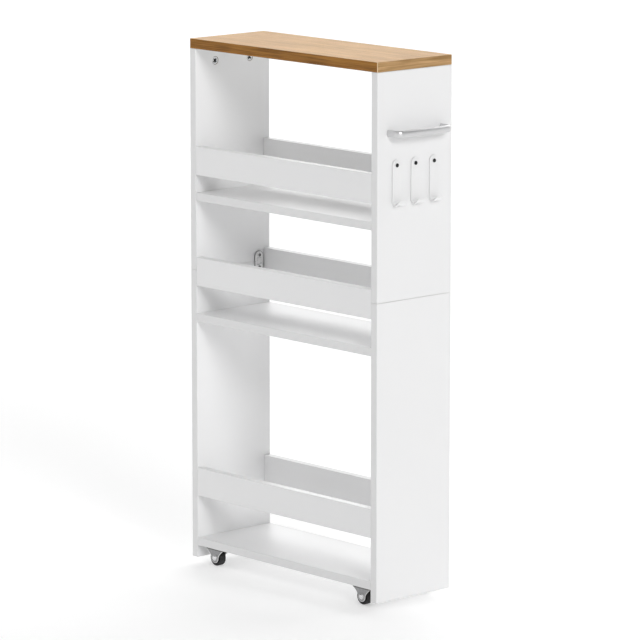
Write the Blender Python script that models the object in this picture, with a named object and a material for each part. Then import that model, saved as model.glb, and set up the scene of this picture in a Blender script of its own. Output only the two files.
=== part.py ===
"""Slim rolling pantry cart: a flat-pack tower of coated boards on four fixed casters.

Lengths are in metres. The floor is Z = 0 and +Z is up. +X runs along the cart to the end that
carries the pull handle, and -Y is the open front. The origin is the middle of the footprint.
"""

import math

import bmesh
import bpy
from mathutils import Quaternion, Vector

# Between two pieces that touch.
GAP = 0.0003

# Overall sizes. LENGTH is taken over the two end panels, and the handle stands out past it.
LENGTH = 0.500
DEPTH = 0.180
HEIGHT = 0.980

# Boards.
TOP_THICKNESS = 0.018
PANEL_THICKNESS = 0.015
SHELF_THICKNESS = 0.015
RAIL_THICKNESS = 0.015
RAIL_HEIGHT = 0.053
PANEL_FLOOR_CLEARANCE = 0.0125
PANEL_SEAM_Z = 0.5539
BOARD_EDGE_BREAK = 0.0004

# Undersides of the upper two shelves, and the slot that each rail leaves above its shelf.
MIDDLE_SHELF_Z = 0.4582
TOP_SHELF_Z = 0.6829
BOTTOM_RAIL_SLOT = 0.0795
MIDDLE_RAIL_SLOT = 0.0514
TOP_RAIL_SLOT = 0.0322

# Pull handle: a flat oval bar, bent at both feet and bowed a little between them.
HANDLE_CENTRES = 0.128
HANDLE_REACH = 0.032
HANDLE_BAR_HEIGHT = 0.013
HANDLE_BAR_THICKNESS = 0.007
HANDLE_CORNER_RADIUS = 0.010
HANDLE_BOW = 0.002
# One for an ellipse, less for a squarer oval.
HANDLE_BAR_SQUARENESS = 0.8
HANDLE_DROP = 0.1085
HANDLE_SCREW_RADIUS = 0.002
HANDLE_SCREW_BITE = 0.010

# Hooks: moulded J shapes, each on one screw.
HOOK_COUNT = 3
HOOK_PITCH = 0.045
HOOK_DROP = 0.1663
HOOK_WIDTH = 0.020
HOOK_WALL = 0.0025
HOOK_BEND_RADIUS = 0.00875
HOOK_LENGTH_BELOW_SCREW = 0.0715
HOOK_SCREW_RADIUS = 0.0018
HOOK_SCREW_HEAD_RADIUS = 0.0035
HOOK_SCREW_HEAD_HEIGHT = 0.0018

# Casters.
WHEEL_RADIUS = 0.015
WHEEL_WIDTH = 0.013
WHEEL_TOP_CLEARANCE = 0.0034
WHEEL_SIDE_CLEARANCE = 0.001
WHEEL_HUB_RADIUS = 0.0045
WHEEL_TREAD_ROUND = 0.0015
BRACKET_SHEET = 0.0015
BRACKET_LENGTH = 0.054
BRACKET_BEND = 0.0012
BRACKET_FOOT_RADIUS = 0.0095
# One for a straight flank, more for a hollower one.
BRACKET_FLANK_HOLLOW = 1.7
BRACKET_HOLE_RADIUS = 0.002
BRACKET_HOLE_SPACING = 0.042
AXLE_RADIUS = 0.0022
AXLE_HEAD_RADIUS = 0.0055
AXLE_HEAD_HEIGHT = 0.0016
# Where the dome of an axle head breaks, as shares of its radius and its height.
AXLE_CROWN = (0.75, 0.7)
CASTER_END_INSET = 0.035
CASTER_FACE_INSET = 0.0105

# Joining plates across the seam of each end panel.
PLATE_WIDTH = 0.021
PLATE_LENGTH = 0.039
PLATE_THICKNESS = 0.002
PLATE_RAIL_MARGIN = 0.0025
PLATE_SCREW_SPACING = 0.023
PLATE_SCREW_RADIUS = 0.00175
PLATE_SCREW_HEAD_RADIUS = 0.0035
PLATE_SCREW_HEAD_HEIGHT = 0.0022

# Cam locks that pull the top board down on the end panels.
CAM_DIAMETER = 0.015
CAM_BACK_WALL = 0.0028
CAM_DROP = 0.025
CAM_SPACING = 0.084
CAM_CROSS_LENGTH = 0.007
CAM_CROSS_WIDTH = 0.0014
CAM_CROSS_DEPTH = 0.002
BOLT_SHANK_RADIUS = 0.0025
BOLT_HEAD_RADIUS = 0.0029
BOLT_BITE = 0.011

# Board left behind the point of a screw.
SCREW_BACK_WALL = 0.0025

# Facets round a circle.
WHEEL_SIDES = 32
ROUND_SIDES = 16
SMALL_SIDES = 12
BEND_STEPS = 5
BAR_STEPS = 4
FLANK_STEPS = 5
FOOT_STEPS = 6
SHARP_ANGLE = math.radians(35)
# How much of a half circle the top of a hook is cut from, so that it ends in a short edge.
HOOK_TOP_ARC = math.radians(80)

# A screw's point in shank radii.
SCREW_POINT = 1.5
# The height of a screw head's rim and the radius of its crown, as shares of the head.
SCREW_RIM = 0.4
SCREW_CROWN = 0.7

# Worked out from the sizes above.
CENTRE_X = -HANDLE_REACH / 2
RIGHT_X = CENTRE_X + LENGTH / 2
LEFT_X = CENTRE_X - LENGTH / 2
INNER_RIGHT_X = RIGHT_X - PANEL_THICKNESS
INNER_LEFT_X = LEFT_X + PANEL_THICKNESS
TOP_UNDERSIDE_Z = HEIGHT - TOP_THICKNESS
CASTER_HEIGHT = 2 * WHEEL_RADIUS + WHEEL_TOP_CLEARANCE + BRACKET_SHEET
BOTTOM_SHELF_Z = CASTER_HEIGHT + GAP
BRACKET_WIDTH = WHEEL_WIDTH + 2 * (WHEEL_SIDE_CLEARANCE + BRACKET_SHEET)
TIERS = {
    "bottom": (BOTTOM_SHELF_Z, BOTTOM_RAIL_SLOT),
    "middle": (MIDDLE_SHELF_Z, MIDDLE_RAIL_SLOT),
    "top": (TOP_SHELF_Z, TOP_RAIL_SLOT),
}
# Each end panel's inner face, and the way that face points.
ENDS = {"left": (INNER_LEFT_X, 1), "right": (INNER_RIGHT_X, -1)}
FACES = {"front": -1, "back": 1}


def clear_scene():
    """Empty the open scene."""
    for obj in list(bpy.data.objects):
        bpy.data.objects.remove(obj, do_unlink=True)


def material(name, color, roughness, metallic=0.0):
    """A Principled material, made once for each name."""
    made = bpy.data.materials.get(name)
    if made is None:
        made = bpy.data.materials.new(name)
    made.use_nodes = True
    shader = made.node_tree.nodes["Principled BSDF"]
    shader.inputs["Base Color"].default_value = (*color, 1.0)
    shader.inputs["Roughness"].default_value = roughness
    shader.inputs["Metallic"].default_value = metallic
    made.diffuse_color = (*color, 1.0)
    return made


def oak_laminate():
    return material("oak_laminate", (0.72, 0.50, 0.30), 0.45)


def white_laminate():
    return material("white_laminate", (0.86, 0.86, 0.86), 0.45)


def satin_nickel():
    return material("satin_nickel", (0.62, 0.62, 0.62), 0.30, 1.0)


def white_plastic():
    return material("white_plastic", (0.84, 0.84, 0.84), 0.35)


def zinc_sheet():
    return material("zinc_sheet", (0.50, 0.50, 0.50), 0.40, 1.0)


def bright_zinc():
    return material("bright_zinc", (0.66, 0.66, 0.66), 0.35, 1.0)


def black_zinc():
    return material("black_zinc", (0.05, 0.05, 0.05), 0.40, 0.6)


def black_rubber():
    return material("black_rubber", (0.02, 0.02, 0.02), 0.55)


def mesh_from(name, mesh_data):
    """Close a bmesh into a mesh with its faces pointing out."""
    bmesh.ops.recalc_face_normals(mesh_data, faces=mesh_data.faces[:])
    mesh = bpy.data.meshes.new(name)
    mesh_data.to_mesh(mesh)
    mesh_data.free()
    return mesh


def turn_to(axis):
    """The turn that takes Z onto an axis, with Y left as upright as it can be."""
    along = Vector(axis)
    if math.hypot(along.x, along.y) < GAP * along.length:
        return Quaternion((1, 0, 0), 0.0 if along.z > 0 else math.pi)
    return along.to_track_quat("Z", "Y")


def place(name, mesh, finish, location, axis=(0, 0, 1), parent=None):
    """Put a mesh in the scene, with its local Z along axis and its local Y as upright as it can be."""
    obj = bpy.data.objects.new(name, mesh)
    if finish is not None and not mesh.materials:
        mesh.materials.append(finish)
    obj.rotation_mode = "QUATERNION"
    obj.rotation_quaternion = turn_to(axis)
    obj.location = location
    obj.parent = parent
    bpy.context.scene.collection.objects.link(obj)
    return obj


def empty(name, location, parent=None):
    """A point that other pieces hang from."""
    obj = bpy.data.objects.new(name, None)
    obj.empty_display_size = 0.02
    obj.location = location
    obj.parent = parent
    bpy.context.scene.collection.objects.link(obj)
    return obj


def shade_round(mesh):
    """Smooth shading that keeps the real corners sharp."""
    mesh.shade_smooth()
    mesh.set_sharp_from_angle(angle=SHARP_ANGLE)


def box_mesh(name, size):
    """A box of that size about the origin."""
    mesh_data = bmesh.new()
    bmesh.ops.create_cube(mesh_data, size=1.0)
    bmesh.ops.scale(mesh_data, vec=size, verts=mesh_data.verts[:])
    return mesh_from(name, mesh_data)


def circle(radius, sides, height=0.0):
    """Points round a circle in the local XY plane, the first one at +X."""
    points = []
    for step in range(sides):
        angle = 2 * math.pi * step / sides
        points.append(Vector((radius * math.cos(angle), radius * math.sin(angle), height)))
    return points


def loft_mesh(name, rings, closed=False):
    """Skin rings of points in their order, where a ring of one point is a tip.

    Each end gets a flat cap, unless the rings are closed and run round to the first.
    """
    mesh_data = bmesh.new()
    loops = [[mesh_data.verts.new(point) for point in ring] for ring in rings]
    pairs = list(zip(loops, loops[1:]))
    if closed:
        pairs.append((loops[-1], loops[0]))
    for lower, upper in pairs:
        count = max(len(lower), len(upper))
        for step in range(count):
            after = (step + 1) % count
            if len(lower) == 1:
                corners = (lower[0], upper[after], upper[step])
            elif len(upper) == 1:
                corners = (lower[step], lower[after], upper[0])
            else:
                corners = (lower[step], lower[after], upper[after], upper[step])
            mesh_data.faces.new(corners)
    if not closed:
        for loop in (loops[0], loops[-1]):
            if len(loop) > 2:
                mesh_data.faces.new(loop)
    return mesh_from(name, mesh_data)


def turned_mesh(name, profile, sides, closed=False):
    """Turn (radius, height) points about the local Z axis."""
    rings = []
    for radius, height in profile:
        if radius == 0:
            rings.append([Vector((0, 0, height))])
        else:
            rings.append(circle(radius, sides, height))
    mesh = loft_mesh(name, rings, closed)
    shade_round(mesh)
    return mesh


def plate_mesh(name, outline, low, high):
    """Raise an outline in the local XY plane from low to high along Z."""
    bottom = [Vector((x, y, low)) for x, y in outline]
    top = [Vector((x, y, high)) for x, y in outline]
    return loft_mesh(name, [bottom, top])


def cut(obj, cutter):
    """Take a cutter's shape out of an object. The cutter stays as a hidden helper."""
    cutter.hide_render = True
    cutter.display_type = "WIRE"
    boolean = obj.modifiers.new(cutter.name, "BOOLEAN")
    boolean.operation = "DIFFERENCE"
    boolean.solver = "EXACT"
    boolean.object = cutter


def drill(obj, name, holes, sides=SMALL_SIDES):
    """Bore straight holes. Each is (start, end, radius) in world space, and they stay clear of each other."""
    mesh_data = bmesh.new()
    for start, end, radius in holes:
        along = Vector(end) - Vector(start)
        turn = turn_to(along)
        loops = []
        for height in (0.0, along.length):
            ring = [Vector(start) + turn @ point for point in circle(radius, sides, height)]
            loops.append([mesh_data.verts.new(point) for point in ring])
        for step in range(sides):
            after = (step + 1) % sides
            mesh_data.faces.new((loops[0][step], loops[0][after], loops[1][after], loops[1][step]))
        mesh_data.faces.new(loops[0])
        mesh_data.faces.new(loops[1])
    cut(obj, place(name, mesh_from(name, mesh_data), None, (0, 0, 0)))


def board(name, low, high, finish, parent):
    """A flat board between two corners, with its edges just broken."""
    size = [far - near for near, far in zip(low, high)]
    middle = [(far + near) / 2 for near, far in zip(low, high)]
    obj = place(name, box_mesh(name, size), finish, middle, parent=parent)
    bevel = obj.modifiers.new("edge_break", "BEVEL")
    bevel.width = BOARD_EDGE_BREAK
    bevel.segments = 1
    bevel.limit_method = "ANGLE"
    return obj


def screw_mesh(name, shank_radius, length, head_radius, head_height):
    """A pan-head screw, point down, with the underside of its head just above Z = 0."""
    profile = [
        (0, -length),
        (shank_radius, -length + SCREW_POINT * shank_radius),
        (shank_radius, GAP),
        (head_radius, GAP),
        (head_radius, GAP + SCREW_RIM * head_height),
        (SCREW_CROWN * head_radius, GAP + head_height),
        (0, GAP + head_height),
    ]
    return turned_mesh(name, profile, SMALL_SIDES)


def cam_places():
    """The name, inner face X, inward sign and Y of each cam lock."""
    for end, (inner_x, inward) in ENDS.items():
        for face, side in FACES.items():
            yield f"{end}_{face}", inner_x, inward, side * CAM_SPACING / 2


def bolt_x(inner_x, inward):
    """The middle of an end panel's thickness, where its cam bolts stand."""
    return inner_x - inward * PANEL_THICKNESS / 2


def hook_centres():
    """The Y of each hook, front to back."""
    first = -HOOK_PITCH * (HOOK_COUNT - 1) / 2
    return [first + HOOK_PITCH * index for index in range(HOOK_COUNT)]


def plate_centre(side):
    """The Y of a joining plate, which stands clear of the rail beside it."""
    return side * (DEPTH / 2 - RAIL_THICKNESS - PLATE_RAIL_MARGIN - PLATE_WIDTH / 2)


def build_top_board(parent):
    """The top board, with a blind hole in its underside for each cam bolt."""
    low = (LEFT_X, -DEPTH / 2, TOP_UNDERSIDE_Z)
    high = (RIGHT_X, DEPTH / 2, HEIGHT)
    obj = board("top_board", low, high, oak_laminate(), parent)
    holes = []
    for _, inner_x, inward, y in cam_places():
        x = bolt_x(inner_x, inward)
        mouth = (x, y, TOP_UNDERSIDE_Z - GAP)
        bottom = (x, y, TOP_UNDERSIDE_Z + BOLT_BITE + GAP)
        holes.append((mouth, bottom, BOLT_SHANK_RADIUS + GAP))
    drill(obj, "top_board_bolt_holes", holes)


def drill_cam_seats(panel, end):
    """Round pockets for the cams, and the edge holes that their bolts come down."""
    pockets = []
    edge_holes = []
    for name, inner_x, inward, y in cam_places():
        if not name.startswith(end):
            continue
        z = TOP_UNDERSIDE_Z - CAM_DROP
        mouth = (inner_x + inward * GAP, y, z)
        floor = (inner_x - inward * (PANEL_THICKNESS - CAM_BACK_WALL), y, z)
        pockets.append((mouth, floor, CAM_DIAMETER / 2 + GAP))
        x = bolt_x(inner_x, inward)
        edge_holes.append(((x, y, z), (x, y, TOP_UNDERSIDE_Z), BOLT_HEAD_RADIUS + 2 * GAP))
    drill(panel, f"{panel.name}_cam_pockets", pockets, ROUND_SIDES)
    drill(panel, f"{panel.name}_bolt_holes", edge_holes)


def plate_screw_hole(inner_x, inward, side, level):
    """The blind hole for one joining plate screw: level is -1 below the seam and 1 above it."""
    y = plate_centre(side)
    z = PANEL_SEAM_Z + level * PLATE_SCREW_SPACING / 2
    mouth = (inner_x + inward * GAP, y, z)
    bottom = (inner_x - inward * (PANEL_THICKNESS - SCREW_BACK_WALL), y, z)
    return mouth, bottom, PLATE_SCREW_RADIUS + GAP


def build_end_panels(parent):
    """Both end panels. Each is two boards, one above the other."""
    seam_half = GAP / 2
    heights = {
        "lower": (PANEL_FLOOR_CLEARANCE, PANEL_SEAM_Z - seam_half, -1),
        "upper": (PANEL_SEAM_Z + seam_half, TOP_UNDERSIDE_Z - GAP, 1),
    }
    for end, (inner_x, inward) in ENDS.items():
        outer_x = inner_x - inward * PANEL_THICKNESS
        for part, (bottom_z, top_z, level) in heights.items():
            low = (min(inner_x, outer_x), -DEPTH / 2, bottom_z)
            high = (max(inner_x, outer_x), DEPTH / 2, top_z)
            panel = board(f"{end}_{part}_panel", low, high, white_laminate(), parent)
            holes = [plate_screw_hole(inner_x, inward, side, level) for side in FACES.values()]
            drill(panel, f"{panel.name}_plate_holes", holes)
            if part == "upper":
                drill_cam_seats(panel, end)
            if part == "upper" and end == "right":
                drill_outer_fixings(panel)


def drill_outer_fixings(panel):
    """Through holes for the handle's screws, and blind holes for the hooks' screws."""
    holes = []
    z = TOP_UNDERSIDE_Z - HANDLE_DROP
    for side in FACES.values():
        y = side * HANDLE_CENTRES / 2
        start = (INNER_RIGHT_X - GAP, y, z)
        end = (RIGHT_X + GAP, y, z)
        holes.append((start, end, HANDLE_SCREW_RADIUS + GAP))
    z = TOP_UNDERSIDE_Z - HOOK_DROP
    for y in hook_centres():
        start = (RIGHT_X + GAP, y, z)
        end = (INNER_RIGHT_X + SCREW_BACK_WALL, y, z)
        holes.append((start, end, HOOK_SCREW_RADIUS + GAP))
    drill(panel, f"{panel.name}_outer_holes", holes)


def build_shelves(parent):
    """Three shelves of the full depth, between the end panels."""
    for tier, (shelf_z, _) in TIERS.items():
        low = (INNER_LEFT_X + GAP, -DEPTH / 2, shelf_z)
        high = (INNER_RIGHT_X - GAP, DEPTH / 2, shelf_z + SHELF_THICKNESS)
        board(f"{tier}_shelf", low, high, white_laminate(), parent)


def build_rails(parent):
    """A guard rail over the front and back edge of each shelf."""
    for tier, (shelf_z, slot) in TIERS.items():
        bottom_z = shelf_z + SHELF_THICKNESS + slot
        for face, side in FACES.items():
            outer_y = side * DEPTH / 2
            inner_y = side * (DEPTH / 2 - RAIL_THICKNESS)
            low = (INNER_LEFT_X + GAP, min(outer_y, inner_y), bottom_z)
            high = (INNER_RIGHT_X - GAP, max(outer_y, inner_y), bottom_z + RAIL_HEIGHT)
            board(f"{tier}_{face}_rail", low, high, white_laminate(), parent)


def cross_outline(length, width):
    """A plus sign."""
    tip = length / 2
    half = width / 2
    arm = [(tip, half), (half, half), (half, tip)]
    outline = []
    for turn in range(4):
        angle = turn * math.pi / 2
        along, across = math.cos(angle), math.sin(angle)
        for x, y in arm:
            outline.append((x * along - y * across, x * across + y * along))
    return outline


def build_cams(parent):
    """The cam locks in the end panels and the bolts that they grip."""
    height = PANEL_THICKNESS - CAM_BACK_WALL - GAP
    radius = CAM_DIAMETER / 2
    cam_profile = [(0, -height), (radius, -height), (radius, 0), (0, 0)]
    z = TOP_UNDERSIDE_Z - CAM_DROP
    neck = CAM_DROP - radius / 2
    bolt_profile = [
        (0, -CAM_DROP - BOLT_HEAD_RADIUS / 2),
        (BOLT_HEAD_RADIUS, -CAM_DROP),
        (BOLT_HEAD_RADIUS, -neck),
        (BOLT_SHANK_RADIUS, -neck),
        (BOLT_SHANK_RADIUS, BOLT_BITE - BOLT_SHANK_RADIUS),
        (0, BOLT_BITE),
    ]
    bolt_mesh = turned_mesh("cam_bolt", bolt_profile, SMALL_SIDES)
    for name, inner_x, inward, y in cam_places():
        cam = place(
            f"{name}_cam",
            turned_mesh(f"{name}_cam", cam_profile, ROUND_SIDES),
            bright_zinc(),
            (inner_x, y, z),
            (inward, 0, 0),
            parent,
        )
        outline = cross_outline(CAM_CROSS_LENGTH, CAM_CROSS_WIDTH)
        cross = plate_mesh(f"{name}_cam_cross", outline, -CAM_CROSS_DEPTH, GAP)
        cut(cam, place(f"{name}_cam_cross", cross, None, (inner_x, y, z), (inward, 0, 0)))
        x = bolt_x(inner_x, inward)
        slot = ((x, y, z - BOLT_HEAD_RADIUS), (x, y, z + CAM_DIAMETER), BOLT_HEAD_RADIUS + GAP)
        drill(cam, f"{name}_cam_slot", [slot])
        place(f"{name}_cam_bolt", bolt_mesh, bright_zinc(), (x, y, TOP_UNDERSIDE_Z), parent=parent)


def stadium_outline(width, length, steps):
    """A strip with round ends, long along local Y."""
    radius = width / 2
    straight = length / 2 - radius
    outline = []
    for end in (1, -1):
        for step in range(steps + 1):
            angle = math.pi * step / steps
            outline.append((end * radius * math.cos(angle), end * (straight + radius * math.sin(angle))))
    return outline


def build_joining_plates(parent):
    """Small steel plates on the inner faces, screwed across each end panel's seam."""
    outline = stadium_outline(PLATE_WIDTH, PLATE_LENGTH, ROUND_SIDES // 2)
    plate = plate_mesh("joining_plate", outline, GAP, GAP + PLATE_THICKNESS)
    length = PANEL_THICKNESS - SCREW_BACK_WALL - GAP + PLATE_THICKNESS + GAP
    screw = screw_mesh(
        "joining_plate_screw", PLATE_SCREW_RADIUS, length, PLATE_SCREW_HEAD_RADIUS, PLATE_SCREW_HEAD_HEIGHT
    )
    levels = {"lower": -1, "upper": 1}
    for end, (inner_x, inward) in ENDS.items():
        for face, side in FACES.items():
            y = plate_centre(side)
            name = f"{end}_{face}_joining_plate"
            obj = place(name, plate, bright_zinc(), (inner_x, y, PANEL_SEAM_Z), (inward, 0, 0), parent)
            seat_x = inner_x + inward * (PLATE_THICKNESS + GAP)
            holes = []
            for part, level in levels.items():
                z = PANEL_SEAM_Z + level * PLATE_SCREW_SPACING / 2
                through = ((inner_x, y, z), (seat_x + inward * GAP, y, z), PLATE_SCREW_RADIUS + GAP)
                holes.append(through)
                place(f"{name}_{part}_screw", screw, bright_zinc(), (seat_x, y, z), (inward, 0, 0), parent)
            drill(obj, f"{name}_holes", holes)


def handle_path():
    """Centre line of the handle, as (point, outward side) pairs in its own X and Y."""
    bar_x = HANDLE_REACH - HANDLE_BAR_THICKNESS / 2 - HANDLE_BOW
    half = HANDLE_CENTRES / 2
    path = [(Vector((GAP, -half, 0)), Vector((0, -1, 0)))]
    for step in range(BEND_STEPS + 1):
        angle = math.pi / 2 * step / BEND_STEPS
        side = Vector((math.sin(angle), -math.cos(angle), 0))
        corner = Vector((bar_x - HANDLE_CORNER_RADIUS, -half + HANDLE_CORNER_RADIUS, 0))
        path.append((corner + HANDLE_CORNER_RADIUS * side, side))
    straight = half - HANDLE_CORNER_RADIUS
    for step in range(1, BAR_STEPS):
        share = step / BAR_STEPS
        rise = HANDLE_BOW * math.sin(math.pi / 2 * share)
        path.append((Vector((bar_x + rise, -straight * (1 - share), 0)), Vector((1, 0, 0))))
    path.append((Vector((bar_x + HANDLE_BOW, 0, 0)), Vector((1, 0, 0))))
    mirrored = [(Vector((p.x, -p.y, 0)), Vector((s.x, -s.y, 0))) for p, s in reversed(path[:-1])]
    return path + mirrored


def build_handle(parent):
    """The pull handle on the right end, and the two screws that come through the panel to it."""
    rings = []
    for point, side in handle_path():
        ring = []
        for corner in circle(1.0, ROUND_SIDES):
            reach = math.copysign(abs(corner.x) ** HANDLE_BAR_SQUARENESS, corner.x) * HANDLE_BAR_THICKNESS / 2
            rise = math.copysign(abs(corner.y) ** HANDLE_BAR_SQUARENESS, corner.y) * HANDLE_BAR_HEIGHT / 2
            ring.append(point + side * reach + Vector((0, 0, rise)))
        rings.append(ring)
    mesh = loft_mesh("handle", rings)
    shade_round(mesh)
    z = TOP_UNDERSIDE_Z - HANDLE_DROP
    handle = place("handle", mesh, satin_nickel(), (RIGHT_X, 0, z), parent=parent)
    grip_length = PANEL_THICKNESS + HANDLE_SCREW_BITE
    screw = screw_mesh(
        "handle_screw", HANDLE_SCREW_RADIUS, grip_length, 2 * HANDLE_SCREW_RADIUS, 1.2 * HANDLE_SCREW_RADIUS
    )
    holes = []
    for face, side in FACES.items():
        y = side * HANDLE_CENTRES / 2
        depth = HANDLE_SCREW_BITE + GAP
        holes.append(((RIGHT_X, y, z), (RIGHT_X + depth, y, z), HANDLE_SCREW_RADIUS + GAP))
        place(f"handle_{face}_screw", screw, bright_zinc(), (INNER_RIGHT_X, y, z), (-1, 0, 0), parent)
    drill(handle, "handle_screw_holes", holes)


def hook_rings():
    """Cross sections of a hook: local X stands out from the panel, Y runs across it and Z is up."""
    back_x = GAP + HOOK_WALL / 2
    half = HOOK_WIDTH / 2
    line = []
    for step in range(BEND_STEPS + 1):
        angle = HOOK_TOP_ARC * (1 - step / BEND_STEPS)
        line.append((back_x, half * math.sin(angle), 1.0, 0.0, half * math.cos(angle)))
    bend = HOOK_BEND_RADIUS - HOOK_WALL / 2
    bend_z = -HOOK_LENGTH_BELOW_SCREW + HOOK_BEND_RADIUS
    bend_steps = 2 * BEND_STEPS
    for step in range(bend_steps + 1):
        angle = math.pi * step / bend_steps
        x = back_x + bend - bend * math.cos(angle)
        z = bend_z - bend * math.sin(angle)
        line.append((x, z, math.cos(angle), math.sin(angle), half))
    rings = []
    for x, z, side_x, side_z, across in line:
        middle = Vector((x, 0, z))
        out = Vector((side_x, 0, side_z)) * HOOK_WALL / 2
        wide = Vector((0, across, 0))
        rings.append([middle - out - wide, middle - out + wide, middle + out + wide, middle + out - wide])
    return rings


def build_hooks(parent):
    """The hooks on the right end, each with its screw."""
    hook_mesh = loft_mesh("hook", hook_rings())
    length = PANEL_THICKNESS - SCREW_BACK_WALL - GAP + HOOK_WALL + GAP
    head = (HOOK_SCREW_HEAD_RADIUS, HOOK_SCREW_HEAD_HEIGHT)
    screw = screw_mesh("hook_screw", HOOK_SCREW_RADIUS, length, *head)
    z = TOP_UNDERSIDE_Z - HOOK_DROP
    seat_x = RIGHT_X + GAP + HOOK_WALL
    for number, y in enumerate(hook_centres(), start=1):
        hook = place(f"hook_{number}", hook_mesh, white_plastic(), (RIGHT_X, y, z), parent=parent)
        hole = ((RIGHT_X, y, z), (seat_x + GAP, y, z), HOOK_SCREW_RADIUS + GAP)
        drill(hook, f"hook_{number}_hole", [hole])
        place(f"hook_{number}_screw", screw, black_zinc(), (seat_x, y, z), (1, 0, 0), parent)


def bracket_outline():
    """Side view of a caster bracket about its axle: X along the cart, Y up."""
    top = CASTER_HEIGHT - WHEEL_RADIUS
    shoulder = top - BRACKET_SHEET
    half = BRACKET_LENGTH / 2
    right = [(half, top), (half, shoulder)]
    for step in range(1, FLANK_STEPS + 1):
        share = 1 - step / FLANK_STEPS
        spread = (half - BRACKET_FOOT_RADIUS) * share**BRACKET_FLANK_HOLLOW
        right.append((BRACKET_FOOT_RADIUS + spread, shoulder * share))
    foot = []
    for step in range(1, FOOT_STEPS):
        angle = math.pi * step / FOOT_STEPS
        foot.append((BRACKET_FOOT_RADIUS * math.cos(angle), -BRACKET_FOOT_RADIUS * math.sin(angle)))
    left = [(-x, y) for x, y in reversed(right)]
    return right + foot + left


def bracket_mesh():
    """The bracket's outer form, as wide as its two legs, with the long top edges rounded by the bend."""
    half = BRACKET_WIDTH / 2
    top = CASTER_HEIGHT - WHEEL_RADIUS
    mesh_data = bmesh.new()
    loops = []
    for y in (-half, half):
        loops.append([mesh_data.verts.new((x, y, z)) for x, z in bracket_outline()])
    count = len(loops[0])
    for step in range(count):
        after = (step + 1) % count
        mesh_data.faces.new((loops[0][step], loops[0][after], loops[1][after], loops[1][step]))
    for loop in loops:
        mesh_data.faces.new(loop)
    bends = []
    for edge in mesh_data.edges:
        first, second = (vert.co for vert in edge.verts)
        at_top = min(first.z, second.z) > top - GAP
        if at_top and abs(first.y - second.y) < GAP:
            bends.append(edge)
    bmesh.ops.bevel(mesh_data, geom=bends, offset=BRACKET_BEND, segments=2, profile=0.5, affect="EDGES")
    return mesh_from("caster_bracket", mesh_data)


def wheel_mesh():
    """A wheel with a plain bore, a raised hub and a rounded tread."""
    bore = AXLE_RADIUS + GAP
    half = WHEEL_WIDTH / 2
    hub_half = half + WHEEL_SIDE_CLEARANCE / 2
    tread_half = half - WHEEL_TREAD_ROUND
    half_profile = [
        (bore, hub_half),
        (WHEEL_HUB_RADIUS, hub_half),
        (WHEEL_HUB_RADIUS, half),
        (WHEEL_RADIUS - WHEEL_TREAD_ROUND, half),
        (WHEEL_RADIUS, tread_half),
    ]
    mirrored = [(radius, -height) for radius, height in reversed(half_profile)]
    return turned_mesh("wheel", half_profile + mirrored, WHEEL_SIDES, closed=True)


def axle_mesh():
    """A rivet through both legs, with a domed head on each end."""
    seat = BRACKET_WIDTH / 2 + GAP
    half_profile = [
        (0, seat + AXLE_HEAD_HEIGHT),
        (AXLE_CROWN[0] * AXLE_HEAD_RADIUS, seat + AXLE_CROWN[1] * AXLE_HEAD_HEIGHT),
        (AXLE_HEAD_RADIUS, seat),
        (AXLE_RADIUS, seat),
    ]
    mirrored = [(radius, -height) for radius, height in reversed(half_profile)]
    return turned_mesh("axle", half_profile + mirrored, ROUND_SIDES)


def cut_bracket(bracket, name, x, y):
    """Open the bracket for its wheel, and bore it for its axle and its two screws."""
    channel = BRACKET_WIDTH - 2 * BRACKET_SHEET
    ceiling = CASTER_HEIGHT - BRACKET_SHEET
    opening = box_mesh(f"{name}_channel", (LENGTH, channel, ceiling))
    slot = place(f"{name}_channel", opening, None, (x, y, ceiling / 2))
    cut(bracket, slot)
    beyond = BRACKET_WIDTH / 2 + GAP
    axle_hole = ((x, y - beyond, WHEEL_RADIUS), (x, y + beyond, WHEEL_RADIUS), AXLE_RADIUS + GAP)
    drill(bracket, f"{name}_axle_hole", [axle_hole], ROUND_SIDES)
    screw_holes = []
    for way in (-1, 1):
        hole_x = x + way * BRACKET_HOLE_SPACING / 2
        start = (hole_x, y, ceiling - GAP)
        end = (hole_x, y, CASTER_HEIGHT + GAP)
        screw_holes.append((start, end, BRACKET_HOLE_RADIUS))
    drill(bracket, f"{name}_screw_holes", screw_holes)


def build_casters(parent):
    """Four fixed casters under the bottom shelf, all rolling along X."""
    shared_bracket = bracket_mesh()
    shared_wheel = wheel_mesh()
    shared_axle = axle_mesh()
    for end, (inner_x, inward) in ENDS.items():
        for face, side in FACES.items():
            x = inner_x + inward * CASTER_END_INSET
            y = side * (DEPTH / 2 - CASTER_FACE_INSET - BRACKET_WIDTH / 2)
            name = f"{face}_{end}"
            hub = empty(f"{name}_axle_line", (x, y, WHEEL_RADIUS), parent)
            bracket = place(f"{name}_bracket", shared_bracket, zinc_sheet(), (0, 0, 0), parent=hub)
            cut_bracket(bracket, f"{name}_bracket", x, y)
            place(f"{name}_wheel", shared_wheel, black_rubber(), (0, 0, 0), (0, 1, 0), hub)
            place(f"{name}_axle", shared_axle, bright_zinc(), (0, 0, 0), (0, 1, 0), hub)


def main():
    clear_scene()
    cart = empty("cart", (0, 0, 0))
    build_top_board(cart)
    build_end_panels(cart)
    build_shelves(cart)
    build_rails(cart)
    build_cams(cart)
    build_joining_plates(cart)
    build_handle(cart)
    build_hooks(cart)
    build_casters(cart)
    bpy.context.view_layer.update()


main()
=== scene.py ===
"""The looks of a rolling pantry cart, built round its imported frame.

Lengths are metres and angles are radians. Z is up, the front is -Y and the handle is on the +X end.
Every place is read from the frame's nodes, so the pieces made here follow the cart when its sizes change.
"""

import logging
import math
from dataclasses import dataclass, fields
from enum import Enum

import bmesh
import bpy
from mathutils import Matrix, Quaternion, Vector


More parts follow.
